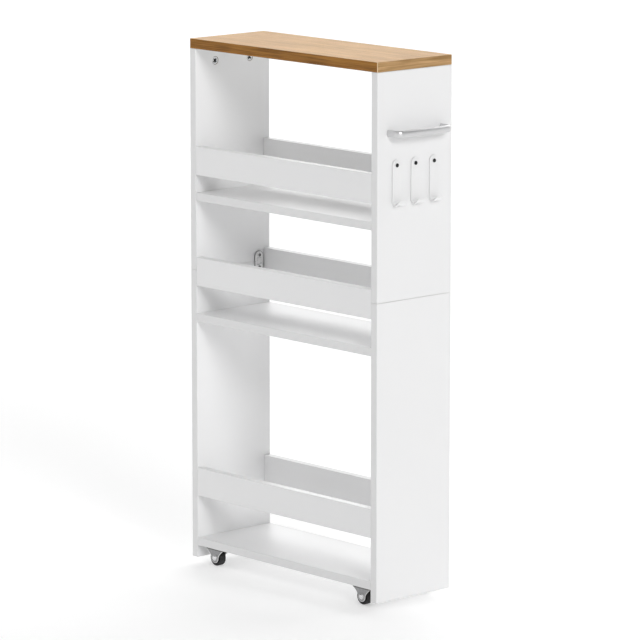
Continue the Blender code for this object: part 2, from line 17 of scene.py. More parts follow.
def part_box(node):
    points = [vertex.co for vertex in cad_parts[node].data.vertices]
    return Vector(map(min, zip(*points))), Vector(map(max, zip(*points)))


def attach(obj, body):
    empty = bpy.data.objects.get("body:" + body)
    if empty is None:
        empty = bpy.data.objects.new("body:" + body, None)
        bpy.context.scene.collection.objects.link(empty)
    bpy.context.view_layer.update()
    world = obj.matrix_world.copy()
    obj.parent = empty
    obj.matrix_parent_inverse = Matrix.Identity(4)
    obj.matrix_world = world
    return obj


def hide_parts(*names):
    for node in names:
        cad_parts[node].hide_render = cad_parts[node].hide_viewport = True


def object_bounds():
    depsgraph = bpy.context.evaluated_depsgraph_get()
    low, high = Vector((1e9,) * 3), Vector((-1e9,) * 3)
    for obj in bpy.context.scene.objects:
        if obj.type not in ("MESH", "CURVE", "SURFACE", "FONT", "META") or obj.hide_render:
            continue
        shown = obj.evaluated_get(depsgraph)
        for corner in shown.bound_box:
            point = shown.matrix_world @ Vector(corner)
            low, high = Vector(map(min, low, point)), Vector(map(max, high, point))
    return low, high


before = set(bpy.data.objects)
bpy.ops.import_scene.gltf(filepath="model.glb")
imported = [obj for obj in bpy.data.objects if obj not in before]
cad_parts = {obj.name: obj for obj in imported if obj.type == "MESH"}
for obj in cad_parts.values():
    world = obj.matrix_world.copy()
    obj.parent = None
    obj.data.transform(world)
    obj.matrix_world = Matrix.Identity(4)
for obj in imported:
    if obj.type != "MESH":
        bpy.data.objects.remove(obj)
cad_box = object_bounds()

log = logging.getLogger("pantry_cart")

CART = "cart"
# The play between neighbouring pieces, and the distance under which points are one.
SKIN = 0.0003
MERGE = 0.00001
# The attribute that holds a place on a repeated piece before it is set in its own place.
LOCAL = "local"
# Faces that meet at less than this are one round surface.
ROUND_ANGLE = math.radians(35)


class Slot(Enum):
    """The names of the material slots."""

    OAK_TOP = "oak_top"
    WHITE_BOARD = "white_board"
    SATIN_HANDLE = "satin_handle"
    WHITE_HOOK = "white_hook"
    CASTER_STEEL = "caster_steel"
    ZINC_FITTINGS = "zinc_fittings"
    BLACK_SCREWS = "black_screws"
    CASTER_WHEEL = "caster_wheel"


class End(Enum):
    """The cart's ends, each with the way its inner face looks along X."""

    LEFT = 1
    RIGHT = -1

    @property
    def label(self) -> str:
        """The word that node names use."""
        return self.name.lower()


class Face(Enum):
    """The cart's front and back, each with its side along Y."""

    FRONT = -1
    BACK = 1

    @property
    def label(self) -> str:
        """The word that node names use."""
        return self.name.lower()


class Axis(Enum):
    """The frame's axes, by their place in a vector."""

    X = 0
    Y = 1
    Z = 2


@dataclass(frozen=True)
class Box:
    """The room that a node of the frame takes."""

    low: Vector
    high: Vector

    @classmethod
    def of(cls, node: str) -> "Box":
        """The box of a node, by its name."""
        low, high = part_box(node)
        return cls(low, high)

    @property
    def centre(self) -> Vector:
        """The middle of the box."""
        return (self.low + self.high) / 2

    @property
    def size(self) -> Vector:
        """The box's three sides."""
        return self.high - self.low

    @property
    def half(self) -> Vector:
        """Half of each side."""
        return self.size / 2


# ------------------------------
# Node trees
# ------------------------------


def pick(sockets: bpy.types.bpy_prop_collection, key: str | int) -> bpy.types.NodeSocket:
    """The socket in use that has a name or a place.

    Args:
        sockets: A node's inputs or outputs.
        key: The socket's name or its place in the list.

    Returns:
        The first match that the node's settings leave switched on.
    """
    if isinstance(key, int):
        return sockets[key]
    return next(socket for socket in sockets if key in (socket.name, socket.identifier) and socket.enabled)


class Value:
    """An output of a node, with the arithmetic that node maths is written in."""

    def __init__(self, tree: "NodeTree", socket: bpy.types.NodeSocket) -> None:
        """Wrap a socket of a tree."""
        self.tree = tree
        self.socket = socket

    def output(self, name: str) -> "Value":
        """Another output of the same node."""
        return Value(self.tree, pick(self.socket.node.outputs, name))

    def __add__(self, other: "Number") -> "Value":
        """Sum."""
        return self.tree.maths("ADD", self, other)

    __radd__ = __add__

    def __sub__(self, other: "Number") -> "Value":
        """Difference."""
        return self.tree.maths("SUBTRACT", self, other)

    def __rsub__(self, other: "Number") -> "Value":
        """Difference, with the number first."""
        return self.tree.maths("SUBTRACT", other, self)

    def __mul__(self, other: "Number") -> "Value":
        """Product."""
        return self.tree.maths("MULTIPLY", self, other)

    __rmul__ = __mul__

    def __truediv__(self, other: "Number") -> "Value":
        """Quotient."""
        return self.tree.maths("DIVIDE", self, other)

    def __rtruediv__(self, other: "Number") -> "Value":
        """Quotient, with the number first."""
        return self.tree.maths("DIVIDE", other, self)

    def __pow__(self, other: "Number") -> "Value":
        """Power."""
        return self.tree.maths("POWER", self, other)

    def __rpow__(self, other: "Number") -> "Value":
        """Power, with the number first."""
        return self.tree.maths("POWER", other, self)

    def __neg__(self) -> "Value":
        """The number turned round."""
        return self.tree.maths("MULTIPLY", self, -1.0)

    def __abs__(self) -> "Value":
        """Size without sign."""
        return self.tree.maths("ABSOLUTE", self)

    def __gt__(self, other: "Number") -> "Value":
        """One where the value is the greater, else nothing."""
        return self.tree.maths("GREATER_THAN", self, other)

    def __lt__(self, other: "Number") -> "Value":
        """One where the value is the smaller, else nothing. Python turns 1 > value into this."""
        return self.tree.maths("LESS_THAN", self, other)

    def least(self, other: "Number") -> "Value":
        """The smaller of two."""
        return self.tree.maths("MINIMUM", self, other)

    def most(self, other: "Number") -> "Value":
        """The larger of two."""
        return self.tree.maths("MAXIMUM", self, other)

    def ramp(self, low: float, high: float) -> "Value":
        """Nothing below low, one above high, and a soft step between them."""
        sockets = {"Value": self, "From Min": low, "From Max": high}
        return self.tree.node("ShaderNodeMapRange", {"interpolation_type": "SMOOTHSTEP"}, sockets)


Number = Value | float


class NodeTree:
    """A node tree, and the one way that nodes are added to it."""

    def __init__(self, tree: bpy.types.NodeTree) -> None:
        """Wrap a tree of either kind."""
        self.tree = tree

    def node(self, kind: str, settings: dict | None = None, sockets: dict | None = None) -> Value:
        """Add a node.

        Args:
            kind: The node's type.
            settings: Its own settings, which are set first.
            sockets: The value, the link or the list of links of each socket, by name or place.

        Returns:
            The node's first output in use.
        """
        made = self.tree.nodes.new(kind)
        for name, setting in (settings or {}).items():
            setattr(made, name, setting)
        for key, value in (sockets or {}).items():
            self.feed(pick(made.inputs, key), value)
        return Value(self, next(socket for socket in made.outputs if socket.enabled))

    def feed(self, socket: bpy.types.NodeSocket, value: object) -> None:
        """Link a socket, or set it.

        Args:
            socket: The input that takes the value.
            value: A Value, a list of Values for a socket that takes many, or a plain value.
        """
        if isinstance(value, Value):
            self.tree.links.new(value.socket, socket)
        elif isinstance(value, list):
            for part in value:
                self.tree.links.new(part.socket, socket)
        elif socket.type == "RGBA":
            socket.default_value = (*value, 1.0)
        else:
            socket.default_value = value

    def split(self, vector: Value) -> tuple[Value, Value, Value]:
        """The three parts of a vector."""
        x = self.node("ShaderNodeSeparateXYZ", {}, {"Vector": vector})
        return x, x.output("Y"), x.output("Z")

    def join(self, x: Number, y: Number, z: Number) -> Value:
        """A vector of three parts."""
        return self.node("ShaderNodeCombineXYZ", {}, {"X": x, "Y": y, "Z": z})

    def maths(self, operation: str, *terms: Number) -> Value:
        """One step of arithmetic."""
        return self.node("ShaderNodeMath", {"operation": operation}, dict(enumerate(terms)))


Colour = tuple[float, float, float]


class ShaderTree(NodeTree):
    """A material under construction."""

    def __init__(self, name: str) -> None:
        """Start a material with its Principled shader."""
        self.material = bpy.data.materials.new(name)
        self.material.use_nodes = True
        super().__init__(self.material.node_tree)
        self.shader = self.tree.nodes["Principled BSDF"]

    def surface(self, **sockets: object) -> bpy.types.Material:
        """Set or link the shader's own sockets.

        Args:
            **sockets: The socket names in small letters, with _ for each space.

        Returns:
            The material.
        """
        for name, value in sockets.items():
            socket = next(s for s in self.shader.inputs if s.name.lower().replace(" ", "_") == name)
            self.feed(socket, value)
        return self.material

    def position(self, centre: Vector | None = None) -> Value:
        """The place on the piece, about a centre."""
        moved = -(centre or Vector())
        place = self.node("ShaderNodeTexCoord").output("Object")
        return self.node("ShaderNodeMapping", {}, {"Vector": place, "Location": moved})

    def noise(self, vector: Value, size: float, detail: float = 2.0, distortion: float = 0.0) -> Value:
        """Soft random tone with features of about a size."""
        sockets = {"Vector": vector, "Scale": 1 / size, "Detail": detail, "Distortion": distortion}
        return self.node("ShaderNodeTexNoise", {}, sockets)

    def cells(self, vector: Value, size: float) -> Value:
        """A random tone for each cell of about a size."""
        spots = self.node("ShaderNodeTexVoronoi", {}, {"Vector": vector, "Scale": 1 / size}).output("Color")
        return self.node("ShaderNodeSeparateColor", {}, {"Color": spots})

    def hollow(self, recess: "Recess") -> Value:
        """Where shade is painted: one deep inside the recess of a turned piece, nothing outside it."""
        x, y, z = self.split(self.node("ShaderNodeAttribute", {"attribute_name": LOCAL}).output("Vector"))
        reach = (x * x + y * y) ** 0.5
        inside = 1 - reach.ramp(recess.radius, recess.radius * 1.2)
        deep = inside * (1 - z.ramp(recess.top - recess.dark_depth, recess.top - SKIN / 2))
        # Past the rim: painted shade of the gap round the piece.
        return deep.most(reach.ramp(recess.rim, recess.rim * 1.06)) if recess.rim else deep

    def mix(self, factor: Number, first: object, second: object) -> Value:
        """A colour between two."""
        sockets = {"Factor": factor, "A": first, "B": second}
        return self.node("ShaderNodeMix", {"data_type": "RGBA"}, sockets)

    def bump(self, height: Value, depth: float, under: Value | None = None) -> Value:
        """A fine relief of a depth, laid over another if there is one."""
        sockets = {"Height": height, "Distance": depth, "Strength": 1.0}
        if under is not None:
            sockets["Normal"] = under
        return self.node("ShaderNodeBump", {}, sockets)


# ------------------------------
# Finishes
# ------------------------------


@dataclass(frozen=True)
class WhiteMelamine:
    """White melamine on chipboard, with banded edges. Drilled walls show the chips, in a brown darkened
    further as painted shade in the pockets.
    """

    tone: Colour = (0.825, 0.825, 0.827)
    drift_tone: Colour = (0.808, 0.808, 0.812)
    band_tone: Colour = (0.755, 0.755, 0.757)
    glue_tone: Colour = (0.55, 0.54, 0.52)
    chip_dark: Colour = (0.14, 0.08, 0.04)
    chip_light: Colour = (0.40, 0.28, 0.16)
    band: float = 0.0008
    glue_width: float = 0.00012
    glue_strength: float = 0.5
    pebble_size: float = 0.0009
    pebble_depth: float = 0.000012
    drift_size: float = 0.12
    smear_size: float = 0.02
    smear_gloss: float = 0.12
    chip_size: float = 0.0014
    chip_depth: float = 0.00006
    chip_dullness: float = 0.4
    roughness: float = 0.40
    specular: float = 0.45

    def material(self, name: str, box: Box, banded: tuple[Axis, ...]) -> bpy.types.Material:
        """Make the finish of one board.

        Args:
            name: The board's name.
            box: The board's box.
            banded: The axes whose two edges have a band.

        Returns:
            The material.
        """
        tree = ShaderTree(f"white_melamine_{name}")
        place = tree.position(box.centre)
        below = [half - abs(part) for half, part in zip(box.half, tree.split(place))]
        lines, bands = [], []
        for axis in banded:
            lines.append(1 - abs(below[axis.value] - self.band).ramp(self.glue_width / 2, self.glue_width))
            bands.append(1 - (below[axis.value] > SKIN))
        glue, edge = lines[0].most(lines[-1]), bands[0].most(bands[-1])
        core = below[0].least(below[1]).least(below[2]) > SKIN
        pebble = tree.noise(place, self.pebble_size, 3.0)
        drift = tree.noise(place, self.drift_size, 2.0)
        smear = tree.noise(place, self.smear_size, 3.0)
        chips = tree.cells(place, self.chip_size)
        colour = tree.mix(drift, self.tone, self.drift_tone)
        colour = tree.mix(edge, colour, self.band_tone)
        colour = tree.mix(glue * self.glue_strength, colour, self.glue_tone)
        # Drilled walls: chipboard brown, darkened further as painted shade in the pockets.
        colour = tree.mix(core, colour, tree.mix(chips, self.chip_dark, self.chip_light))
        relief = tree.bump(pebble, self.pebble_depth)
        relief = tree.bump(1 - glue.most(core * chips), self.chip_depth, relief)
        roughness = self.roughness + self.smear_gloss * (smear - 0.5) + self.chip_dullness * core
        return tree.surface(
            base_color=colour,
            roughness=roughness,
            normal=relief,
            specular_ior_level=self.specular,
        )


@dataclass(frozen=True)
class GrainTone:
    """The dark and light tone of a grain."""

    dark: Colour
    light: Colour


@dataclass(frozen=True)
class OakLaminate:
    """Oak-look laminate: light faces, brown bands on the long edges and paler ones on the short edges. The
    long edges' darker brown is painted shade on the front and back.
    """

    face: GrainTone = GrainTone((0.595, 0.345, 0.145), (0.755, 0.470, 0.210))
    # Painted shade: the long (front and back) edge bands are a darker copy of the short edges' band.
    long_edge: GrainTone = GrainTone((0.165, 0.068, 0.012), (0.375, 0.172, 0.036))
    short_edge: GrainTone = GrainTone((0.290, 0.165, 0.060), (0.560, 0.350, 0.165))
    backing: Colour = (0.700, 0.690, 0.670)
    joint_tone: Colour = (0.74, 0.58, 0.38)
    pore_tone: Colour = (0.30, 0.18, 0.09)
    band: float = 0.0010
    figure_size: float = 0.016
    figure_stretch: float = 0.10
    figure_twist: float = 0.8
    streak_size: float = 0.0017
    streak_stretch: float = 0.020
    streak_twist: float = 0.2
    streak_depth: float = 0.00003
    pore_size: float = 0.0006
    pore_stretch: float = 0.050
    pore_strength: float = 0.30
    pore_depth: float = 0.00005
    patch_size: float = 0.10
    corner_strength: float = 0.85
    roughness: float = 0.50
    specular: float = 0.15

    def material(self, name: str, box: Box) -> bpy.types.Material:
        """Make the finish of one board, with its grain along X and along each edge band.

        Args:
            name: The board's name.
            box: The board's box.

        Returns:
            The material.
        """
        tree = ShaderTree(f"oak_laminate_{name}")
        place = tree.position(box.centre)
        x, y, z = tree.split(place)
        in_x = box.half.x - abs(x)
        in_y = box.half.y - abs(y)
        at_end = 1 - (in_x > SKIN)
        at_side = 1 - (in_y > SKIN)
        along = x + at_end * (y - x)
        across = y + at_end * (x - y)
        rings = tree.join(along * self.figure_stretch, across, z * 2.2)
        figure = tree.noise(rings, self.figure_size, 3.0, self.figure_twist)
        fibres = tree.join(along * self.streak_stretch, across, z)
        streaks = tree.noise(fibres, self.streak_size, 4.0, self.streak_twist)
        vessels = tree.join(along * self.pore_stretch, across, z)
        pores = tree.noise(vessels, self.pore_size, 1.0).ramp(0.60, 0.70)
        patch = tree.noise(place, self.patch_size, 2.0)
        tone = (0.55 * figure + 0.45 * streaks + 0.25 * (patch - 0.5)).ramp(0.34, 0.66)
        colour = tree.mix(tone, self.face.dark, self.face.light)
        # Painted shade on the long edges.
        colour = tree.mix(at_side, colour, tree.mix(tone, self.long_edge.dark, self.long_edge.light))
        colour = tree.mix(at_end, colour, tree.mix(tone, self.short_edge.dark, self.short_edge.light))
        colour = tree.mix(pores * self.pore_strength, colour, self.pore_tone)
        corner = (1 - in_x.ramp(self.band * 0.8, self.band)) * (1 - in_y.ramp(self.band * 0.8, self.band))
        colour = tree.mix(corner * self.corner_strength, colour, self.joint_tone)
        at_bottom = 1 - (z + box.half.z > SKIN)
        colour = tree.mix(at_bottom, colour, self.backing)
        relief = tree.bump(streaks, self.streak_depth)
        relief = tree.bump(1 - pores, self.pore_depth, relief)
        roughness = self.roughness + 0.10 * (figure - 0.5) + 0.15 * pores
        return tree.surface(
            base_color=colour,
            roughness=roughness,
            normal=relief,
            specular_ior_level=self.specular,
        )


@dataclass(frozen=True)
class SatinNickel:
    """Satin metal, brushed along one axis."""

    dark: Colour = (0.60, 0.60, 0.61)
    light: Colour = (0.74, 0.74, 0.74)
    roughness: float = 0.42
    brushed: Axis = Axis.Y
    stretch: float = 0.02
    hairline_size: float = 0.0003
    hairline_depth: float = 0.000006
    hairline_gloss: float = 0.16
    cloud_size: float = 0.012
    cloud_gloss: float = 0.08

    def material(self, name: str) -> bpy.types.Material:
        """Make the finish of one piece."""
        tree = ShaderTree(f"satin_nickel_{name}")
        place = tree.position()
        parts = list(tree.split(place))
        parts[self.brushed.value] = parts[self.brushed.value] * self.stretch
        hairlines = tree.noise(tree.join(*parts), self.hairline_size, 3.0)
        cloud = tree.noise(place, self.cloud_size, 3.0)
        colour = tree.mix(0.5 * hairlines + 0.5 * cloud, self.dark, self.light)
        roughness = self.roughness + self.hairline_gloss * (hairlines - 0.5)
        roughness = roughness + self.cloud_gloss * (cloud - 0.5)
        relief = tree.bump(hairlines, self.hairline_depth)
        return tree.surface(base_color=colour, metallic=1.0, roughness=roughness, normal=relief)


@dataclass(frozen=True)
class MouldedPlastic:
    """Moulded white plastic with a spark-eroded skin."""

    tone: Colour = (0.815, 0.815, 0.816)
    drift_tone: Colour = (0.795, 0.795, 0.798)
    roughness: float = 0.36
    gloss_change: float = 0.10
    skin_size: float = 0.00035
    skin_depth: float = 0.00001
    flow_size: float = 0.010

    def material(self, name: str) -> bpy.types.Material:
        """Make the finish of one piece."""
        tree = ShaderTree(f"moulded_plastic_{name}")
        place = tree.position()
        skin = tree.noise(place, self.skin_size, 2.0)
        flow = tree.noise(place, self.flow_size, 2.0)
        colour = tree.mix(flow, self.tone, self.drift_tone)
        roughness = self.roughness + self.gloss_change * (skin - 0.5) + self.gloss_change * (flow - 0.5)
        relief = tree.bump(skin, self.skin_depth)
        return tree.surface(base_color=colour, roughness=roughness, normal=relief)


@dataclass(frozen=True)
class PlateZinc:
    """Bright zinc with painted shade: a dark line round a plate's edge and round the pocket pressed in it."""

    dark: Colour = (0.78, 0.78, 0.78)
    light: Colour = (0.93, 0.93, 0.93)
    # The tone of the painted shade on the plate's edge and in the crease round its pocket.
    dull: Colour = (0.13, 0.13, 0.13)
    rim_strength: float = 0.80
    rim: tuple[float, float] = (0.0006, 0.0016)
    crease_strength: float = 0.45
    crease: tuple[float, float] = (0.0002, 0.0009)
    crystal: float = 0.0020
    cloud_size: float = 0.005
    cloud_depth: float = 0.00002
    metallic: float = 0.4
    roughness: float = 0.32

    def material(self, name: str, box: Box, pocket_width: float, pocket_length: float) -> bpy.types.Material:
        """Make the finish of one plate.

        Args:
            name: The plate's name.
            box: Its box. The plate is thin along X and long along Z.
            pocket_width: The pocket's side along Y.
            pocket_length: The pocket's side along Z.

        Returns:
            The material.
        """
        tree = ShaderTree(f"plate_zinc_{name}")
        place = tree.position(box.centre)
        _, y, z = tree.split(place)
        beyond = (abs(z) - (box.half.z - box.half.y)).most(0.0)
        inward = box.half.y - (y * y + beyond * beyond) ** 0.5
        rim = 1 - inward.ramp(*self.rim)
        side = (abs(y) - pocket_width / 2).most(abs(z) - pocket_length / 2)
        crease = 1 - abs(side).ramp(*self.crease)
        crystals = tree.cells(place, self.crystal)
        cloud = tree.noise(place, self.cloud_size, 3.0)
        colour = tree.mix(0.4 * crystals + 0.6 * cloud, self.dark, self.light)
        # Painted shade along the plate's rim and in the crease round the pocket.
        line = (self.rim_strength * rim).most(self.crease_strength * crease)
        colour = tree.mix(line, colour, self.dull)
        roughness = self.roughness + 0.12 * (crystals - 0.5) + 0.15 * rim
        relief = tree.bump(cloud, self.cloud_depth)
        return tree.surface(base_color=colour, metallic=self.metallic, roughness=roughness, normal=relief)


@dataclass(frozen=True)
class Recess:
    """The driver recess of a turned piece: its reach, the height of its mouth and where painted shade darkens
    it.

    If a rim is given, shade is painted outside that radius as well, for the gap round the piece in its
    pocket.
    """

    radius: float
    top: float
    dark_depth: float = 0.0005
    rim: float = 0.0


@dataclass(frozen=True)
class Zinc:
    """Zinc plating or casting, with the tone of its crystals and fine scratches."""

    dark: Colour
    light: Colour
    roughness: float
    crystal: float = 0.0022
    grime: Colour = (0.020, 0.018, 0.016)
    cloud_size: float = 0.006
    scratch_size: float = 0.0004
    scratch_stretch: float = 0.08
    gloss_change: float = 0.12
    pitting_size: float = 0.0006
    pitting_depth: float = 0.00001

    def material(self, name: str, recess: Recess | None = None) -> bpy.types.Material:
        """Make the finish of one piece.

        Args:
            name: The piece's name.
            recess: Where shade is painted on the piece, if it has a recess.

        Returns:
            The material.
        """
        tree = ShaderTree(f"zinc_{name}")
        place = tree.position()
        crystals = tree.cells(place, self.crystal)
        cloud = tree.noise(place, self.cloud_size, 3.0)
        x, y, z = tree.split(place)
        grain = tree.join(x * self.scratch_stretch, y, z)
        scratches = tree.noise(grain, self.scratch_size, 2.0).ramp(0.62, 0.72)
        colour = tree.mix(0.45 * crystals + 0.55 * cloud, self.dark, self.light)
        roughness = self.roughness + self.gloss_change * (crystals - 0.5) + self.gloss_change * scratches
        relief = tree.bump(tree.noise(place, self.pitting_size, 2.0), self.pitting_depth)
        bare = 1.0
        if recess is not None:
            hollow = tree.hollow(recess)
            # Painted shade in the recess, where no metal sheen is left.
            colour = tree.mix(hollow, colour, self.grime)
            bare = 1 - hollow
        return tree.surface(base_color=colour, metallic=bare, roughness=roughness, normal=relief)


@dataclass(frozen=True)
class LegOutline:
    """The side outline of a bracket's leg about its axle: a round foot and two hollow flanks."""

    foot_radius: float
    spread: float
    shoulder: float
    power: float

    def inward(self, x: Value, z: Value) -> Value:
        """How far inside the outline a point is."""
        up = z.most(0.0) / self.shoulder
        down = (-z).most(0.0)
        flank = self.foot_radius + self.spread * up ** self.power
        slope = (self.spread * self.power / self.shoulder) * up ** (self.power - 1)
        return (flank - (x * x + down * down) ** 0.5) / (1 + slope * slope) ** 0.5


@dataclass(frozen=True)
class PressedZinc:
    """Galvanised sheet. Its sheared edges and a band along the legs' outline are painted near white: partly
    the bare steel of the cut, partly a painted highlight. A band under the fold at its top is painted dark:
    painted shade under the shelf.

    The painted shade starts and ends at two depths below the top, which are given in fold radii.
    """

    rim: float = 0.0013
    dirt_start: float = 2.9
    dirt_end: float = 2.2
    cloud_size: float = 0.006
    mark_size: float = 0.0004
    mark_stretch: float = 0.1
    mark_depth: float = 0.00004
    pitting_size: float = 0.0006
    pitting_depth: float = 0.00001
    bareness: float = 0.8
    dark: Colour = (0.26, 0.26, 0.265)
    light: Colour = (0.39, 0.39, 0.395)
    # Near white: the bare steel of the cut edges, brightened further as a painted highlight.
    sheared: Colour = (0.88, 0.88, 0.88)
    # The tone of the painted shade under the fold, where the shelf shades the leg.
    dirt: Colour = (0.07, 0.068, 0.065)
    roughness: float = 0.42
    crystal: float = 0.0028

    def material(
        self,
        name: str,
        box: Box,
        axle: Vector,
        leg: LegOutline,
        sheet: float,
        fold: float,
    ) -> bpy.types.Material:
        """Make the finish of one folded bracket.

        Args:
            name: The piece's name.
            box: Its box. The legs are the box's two sides across Y.
            axle: The middle of its axle.
            leg: The outline of its legs.
            sheet: The sheet's thickness.
            fold: The radius of the fold along its top.

        Returns:
            The material.
        """
        tree = ShaderTree(f"pressed_zinc_{name}")
        place = tree.position(box.centre)
        x, y, z = tree.split(place)
        crystals = tree.cells(place, self.crystal)
        cloud = tree.noise(place, self.cloud_size, 3.0)
        strokes = tree.join(x, y * self.mark_stretch, z * self.mark_stretch)
        marks = tree.noise(strokes, self.mark_size, 2.0)
        below = box.half.y - abs(y)
        face = SKIN * 0.8
        cut = (below > face) * (1 - (below > sheet - face))
        fold_shade = z.ramp(box.half.z - fold * self.dirt_start, box.half.z - fold * self.dirt_end)
        inward = leg.inward(x + (box.centre.x - axle.x), z + (box.centre.z - axle.z))
        rim = 1 - inward.ramp(self.rim * 0.6, self.rim)
        colour = tree.mix(0.45 * crystals + 0.55 * cloud, self.dark, self.light)
        # Painted highlight, partly the real bare steel: the cut edges and the band along the legs' outline.
        colour = tree.mix(cut.most(0.9 * rim), colour, tree.mix(0.4 * marks, self.sheared, self.light))
        # Painted shade under the fold at the top.
        colour = tree.mix(fold_shade * 0.9, colour, self.dirt)
        roughness = self.roughness + 0.12 * (crystals - 0.5) + 0.1 * fold_shade - 0.08 * cut
        relief = tree.bump(tree.noise(place, self.pitting_size, 2.0), self.pitting_depth)
        relief = tree.bump(marks * cut, self.mark_depth, relief)
        metallic = 1 - (0.6 * fold_shade).most(self.bareness * cut).most(self.bareness * rim)
        return tree.surface(base_color=colour, metallic=metallic, roughness=roughness, normal=relief)


@dataclass(frozen=True)
class BlackOxide:
    """Blackened steel, a little worn on its high spots."""

    dark: Colour = (0.022, 0.022, 0.023)
    worn: Colour = (0.110, 0.108, 0.104)
    grime: Colour = (0.004, 0.004, 0.004)
    metallic: float = 0.7
    roughness: float = 0.46
    worn_gloss: float = 0.10
    wear_size: float = 0.0012
    skin_size: float = 0.0004
    skin_depth: float = 0.000008

    def material(self, name: str, recess: Recess) -> bpy.types.Material:
        """Make the finish of one piece, with painted shade in its recess."""
        tree = ShaderTree(f"black_oxide_{name}")
        place = tree.position()
        wear = tree.noise(place, self.wear_size, 3.0).ramp(0.50, 0.75)
        hollow = tree.hollow(recess)
        # Painted shade in the recess.
        colour = tree.mix(hollow, tree.mix(wear, self.dark, self.worn), self.grime)
        relief = tree.bump(tree.noise(place, self.skin_size, 2.0), self.skin_depth)
        metallic = self.metallic * (1 - hollow)
        roughness = self.roughness - self.worn_gloss * wear
        return tree.surface(base_color=colour, metallic=metallic, roughness=roughness, normal=relief)


@dataclass(frozen=True)
class BlackRubber:
    """Black moulded tyre compound, greyed with dust where it rolls."""

    tone: Colour = (0.007, 0.007, 0.008)
    dust: Colour = (0.028, 0.027, 0.026)
    roughness: float = 0.50
    specular: float = 0.5
    tread_start: float = 0.93
    speckle_size: float = 0.0004
    speckle_depth: float = 0.00003
    dust_size: float = 0.003

    def material(self, name: str, box: Box) -> bpy.types.Material:
        """Make the finish of one wheel.

        Args:
            name: The wheel's name.
            box: The wheel's box, whose middle is on the axle.

        Returns:
            The material.
        """
        tree = ShaderTree(f"black_rubber_{name}")
        place = tree.position(box.centre)
        x, _, z = tree.split(place)
        reach = (x * x + z * z) ** 0.5
        rolling = reach.ramp(box.half.z * self.tread_start, box.half.z)
        speckle = tree.noise(place, self.speckle_size, 3.0)
        dust = tree.noise(place, self.dust_size, 4.0).ramp(0.40, 0.75)
        colour = tree.mix(0.25 * dust + 0.35 * dust * rolling, self.tone, self.dust)
        roughness = self.roughness + 0.20 * dust + 0.10 * rolling
        relief = tree.bump(speckle, self.speckle_depth)
        return tree.surface(
            base_color=colour,
            roughness=roughness,
            normal=relief,
            specular_ior_level=self.specular,
        )


CAST_ZINC = Zinc((0.76, 0.76, 0.77), (0.93, 0.93, 0.93), 0.34, 0.0016)
BRIGHT_ZINC = Zinc((0.56, 0.56, 0.57), (0.76, 0.76, 0.77), 0.34, 0.0020)
POLISHED_ZINC = Zinc((0.62, 0.62, 0.63), (0.80, 0.80, 0.81), 0.20, 0.0016)
SHEET_ZINC = Zinc((0.36, 0.36, 0.365), (0.50, 0.50, 0.505), 0.42, 0.0028)


# ------------------------------
# Meshes
# ------------------------------


def close_up(name: str, work: bmesh.types.BMesh) -> bpy.types.Mesh:
    """Merge doubles, point the faces out and round the shading between real corners.

    Args:
        name: The mesh's name.
        work: The mesh being built, which is freed.

    Returns:
        The mesh.
    """
    bmesh.ops.remove_doubles(work, verts=work.verts[:], dist=MERGE)
    bmesh.ops.recalc_face_normals(work, faces=work.faces[:])
    mesh = bpy.data.meshes.new(name)
    work.to_mesh(mesh)
    work.free()
    mesh.shade_smooth()
    mesh.set_sharp_from_angle(angle=ROUND_ANGLE)
    return mesh


def loft(name: str, rings: list[list[Vector]], closed: bool = False) -> bpy.types.Mesh:
    """Skin rings that have the same number of points.

    Args:
        name: The mesh's name.
        rings: The rings in their order.
        closed: Whether the last ring joins the first; otherwise both ends are capped.

    Returns:
        The mesh.
    """
    work = bmesh.new()
    loops = [[work.verts.new(point) for point in ring] for ring in rings]
    pairs = list(zip(loops, loops[1:]))
    if closed:
        pairs.append((loops[-1], loops[0]))
    for lower, upper in pairs:
        for step, corner in enumerate(lower):
            after = (step + 1) % len(lower)
            work.faces.new((corner, lower[after], upper[after], upper[step]))
    if not closed:
        work.faces.new(loops[0])
        work.faces.new(loops[-1])
    return close_up(name, work)


def circle(radius: float, sides: int, height: float = 0.0) -> list[Vector]:
    """Points round a circle about Z."""
    angles = [2 * math.pi / sides * step for step in range(sides)]
    return [Vector((radius * math.cos(angle), radius * math.sin(angle), height)) for angle in angles]


def rounded_outline(width: float, length: float, corner: float, steps: int) -> list[Vector]:
    """A rectangle with round corners in the XY plane.

    Args:
        width: Its side along X.
        length: Its side along Y.
        corner: The corners' radius.
        steps: The steps round each corner.

    Returns:
        The outline's points.
    """
    outline = []
    for quarter, (way_x, way_y) in enumerate(((1, 1), (-1, 1), (-1, -1), (1, -1))):
        middle = Vector((way_x * (width / 2 - corner), way_y * (length / 2 - corner), 0))
        for step in range(steps + 1):
            angle = math.pi / 2 * (quarter + step / steps)
            outline.append(middle + corner * Vector((math.cos(angle), math.sin(angle), 0)))
    return outline


def workshop_object(name: str, mesh: bpy.types.Mesh) -> bpy.types.Object:
    """A mesh as an object of the scene."""
    piece = bpy.data.objects.new(name, mesh)
    bpy.context.scene.collection.objects.link(piece)
    return piece


def discard(piece: bpy.types.Object) -> None:
    """Remove a helper object."""
    bpy.data.objects.remove(piece, do_unlink=True)


def evaluated_mesh(piece: bpy.types.Object) -> bpy.types.Mesh:
    """The plain mesh that an object's modifiers make, tidied and shaded."""
    shown = piece.evaluated_get(bpy.context.evaluated_depsgraph_get())
    mesh = bpy.data.meshes.new_from_object(shown)
    work = bmesh.new()
    work.from_mesh(mesh)
    tidy = close_up(piece.name, work)
    for material in mesh.materials:
        tidy.materials.append(material)
    return tidy


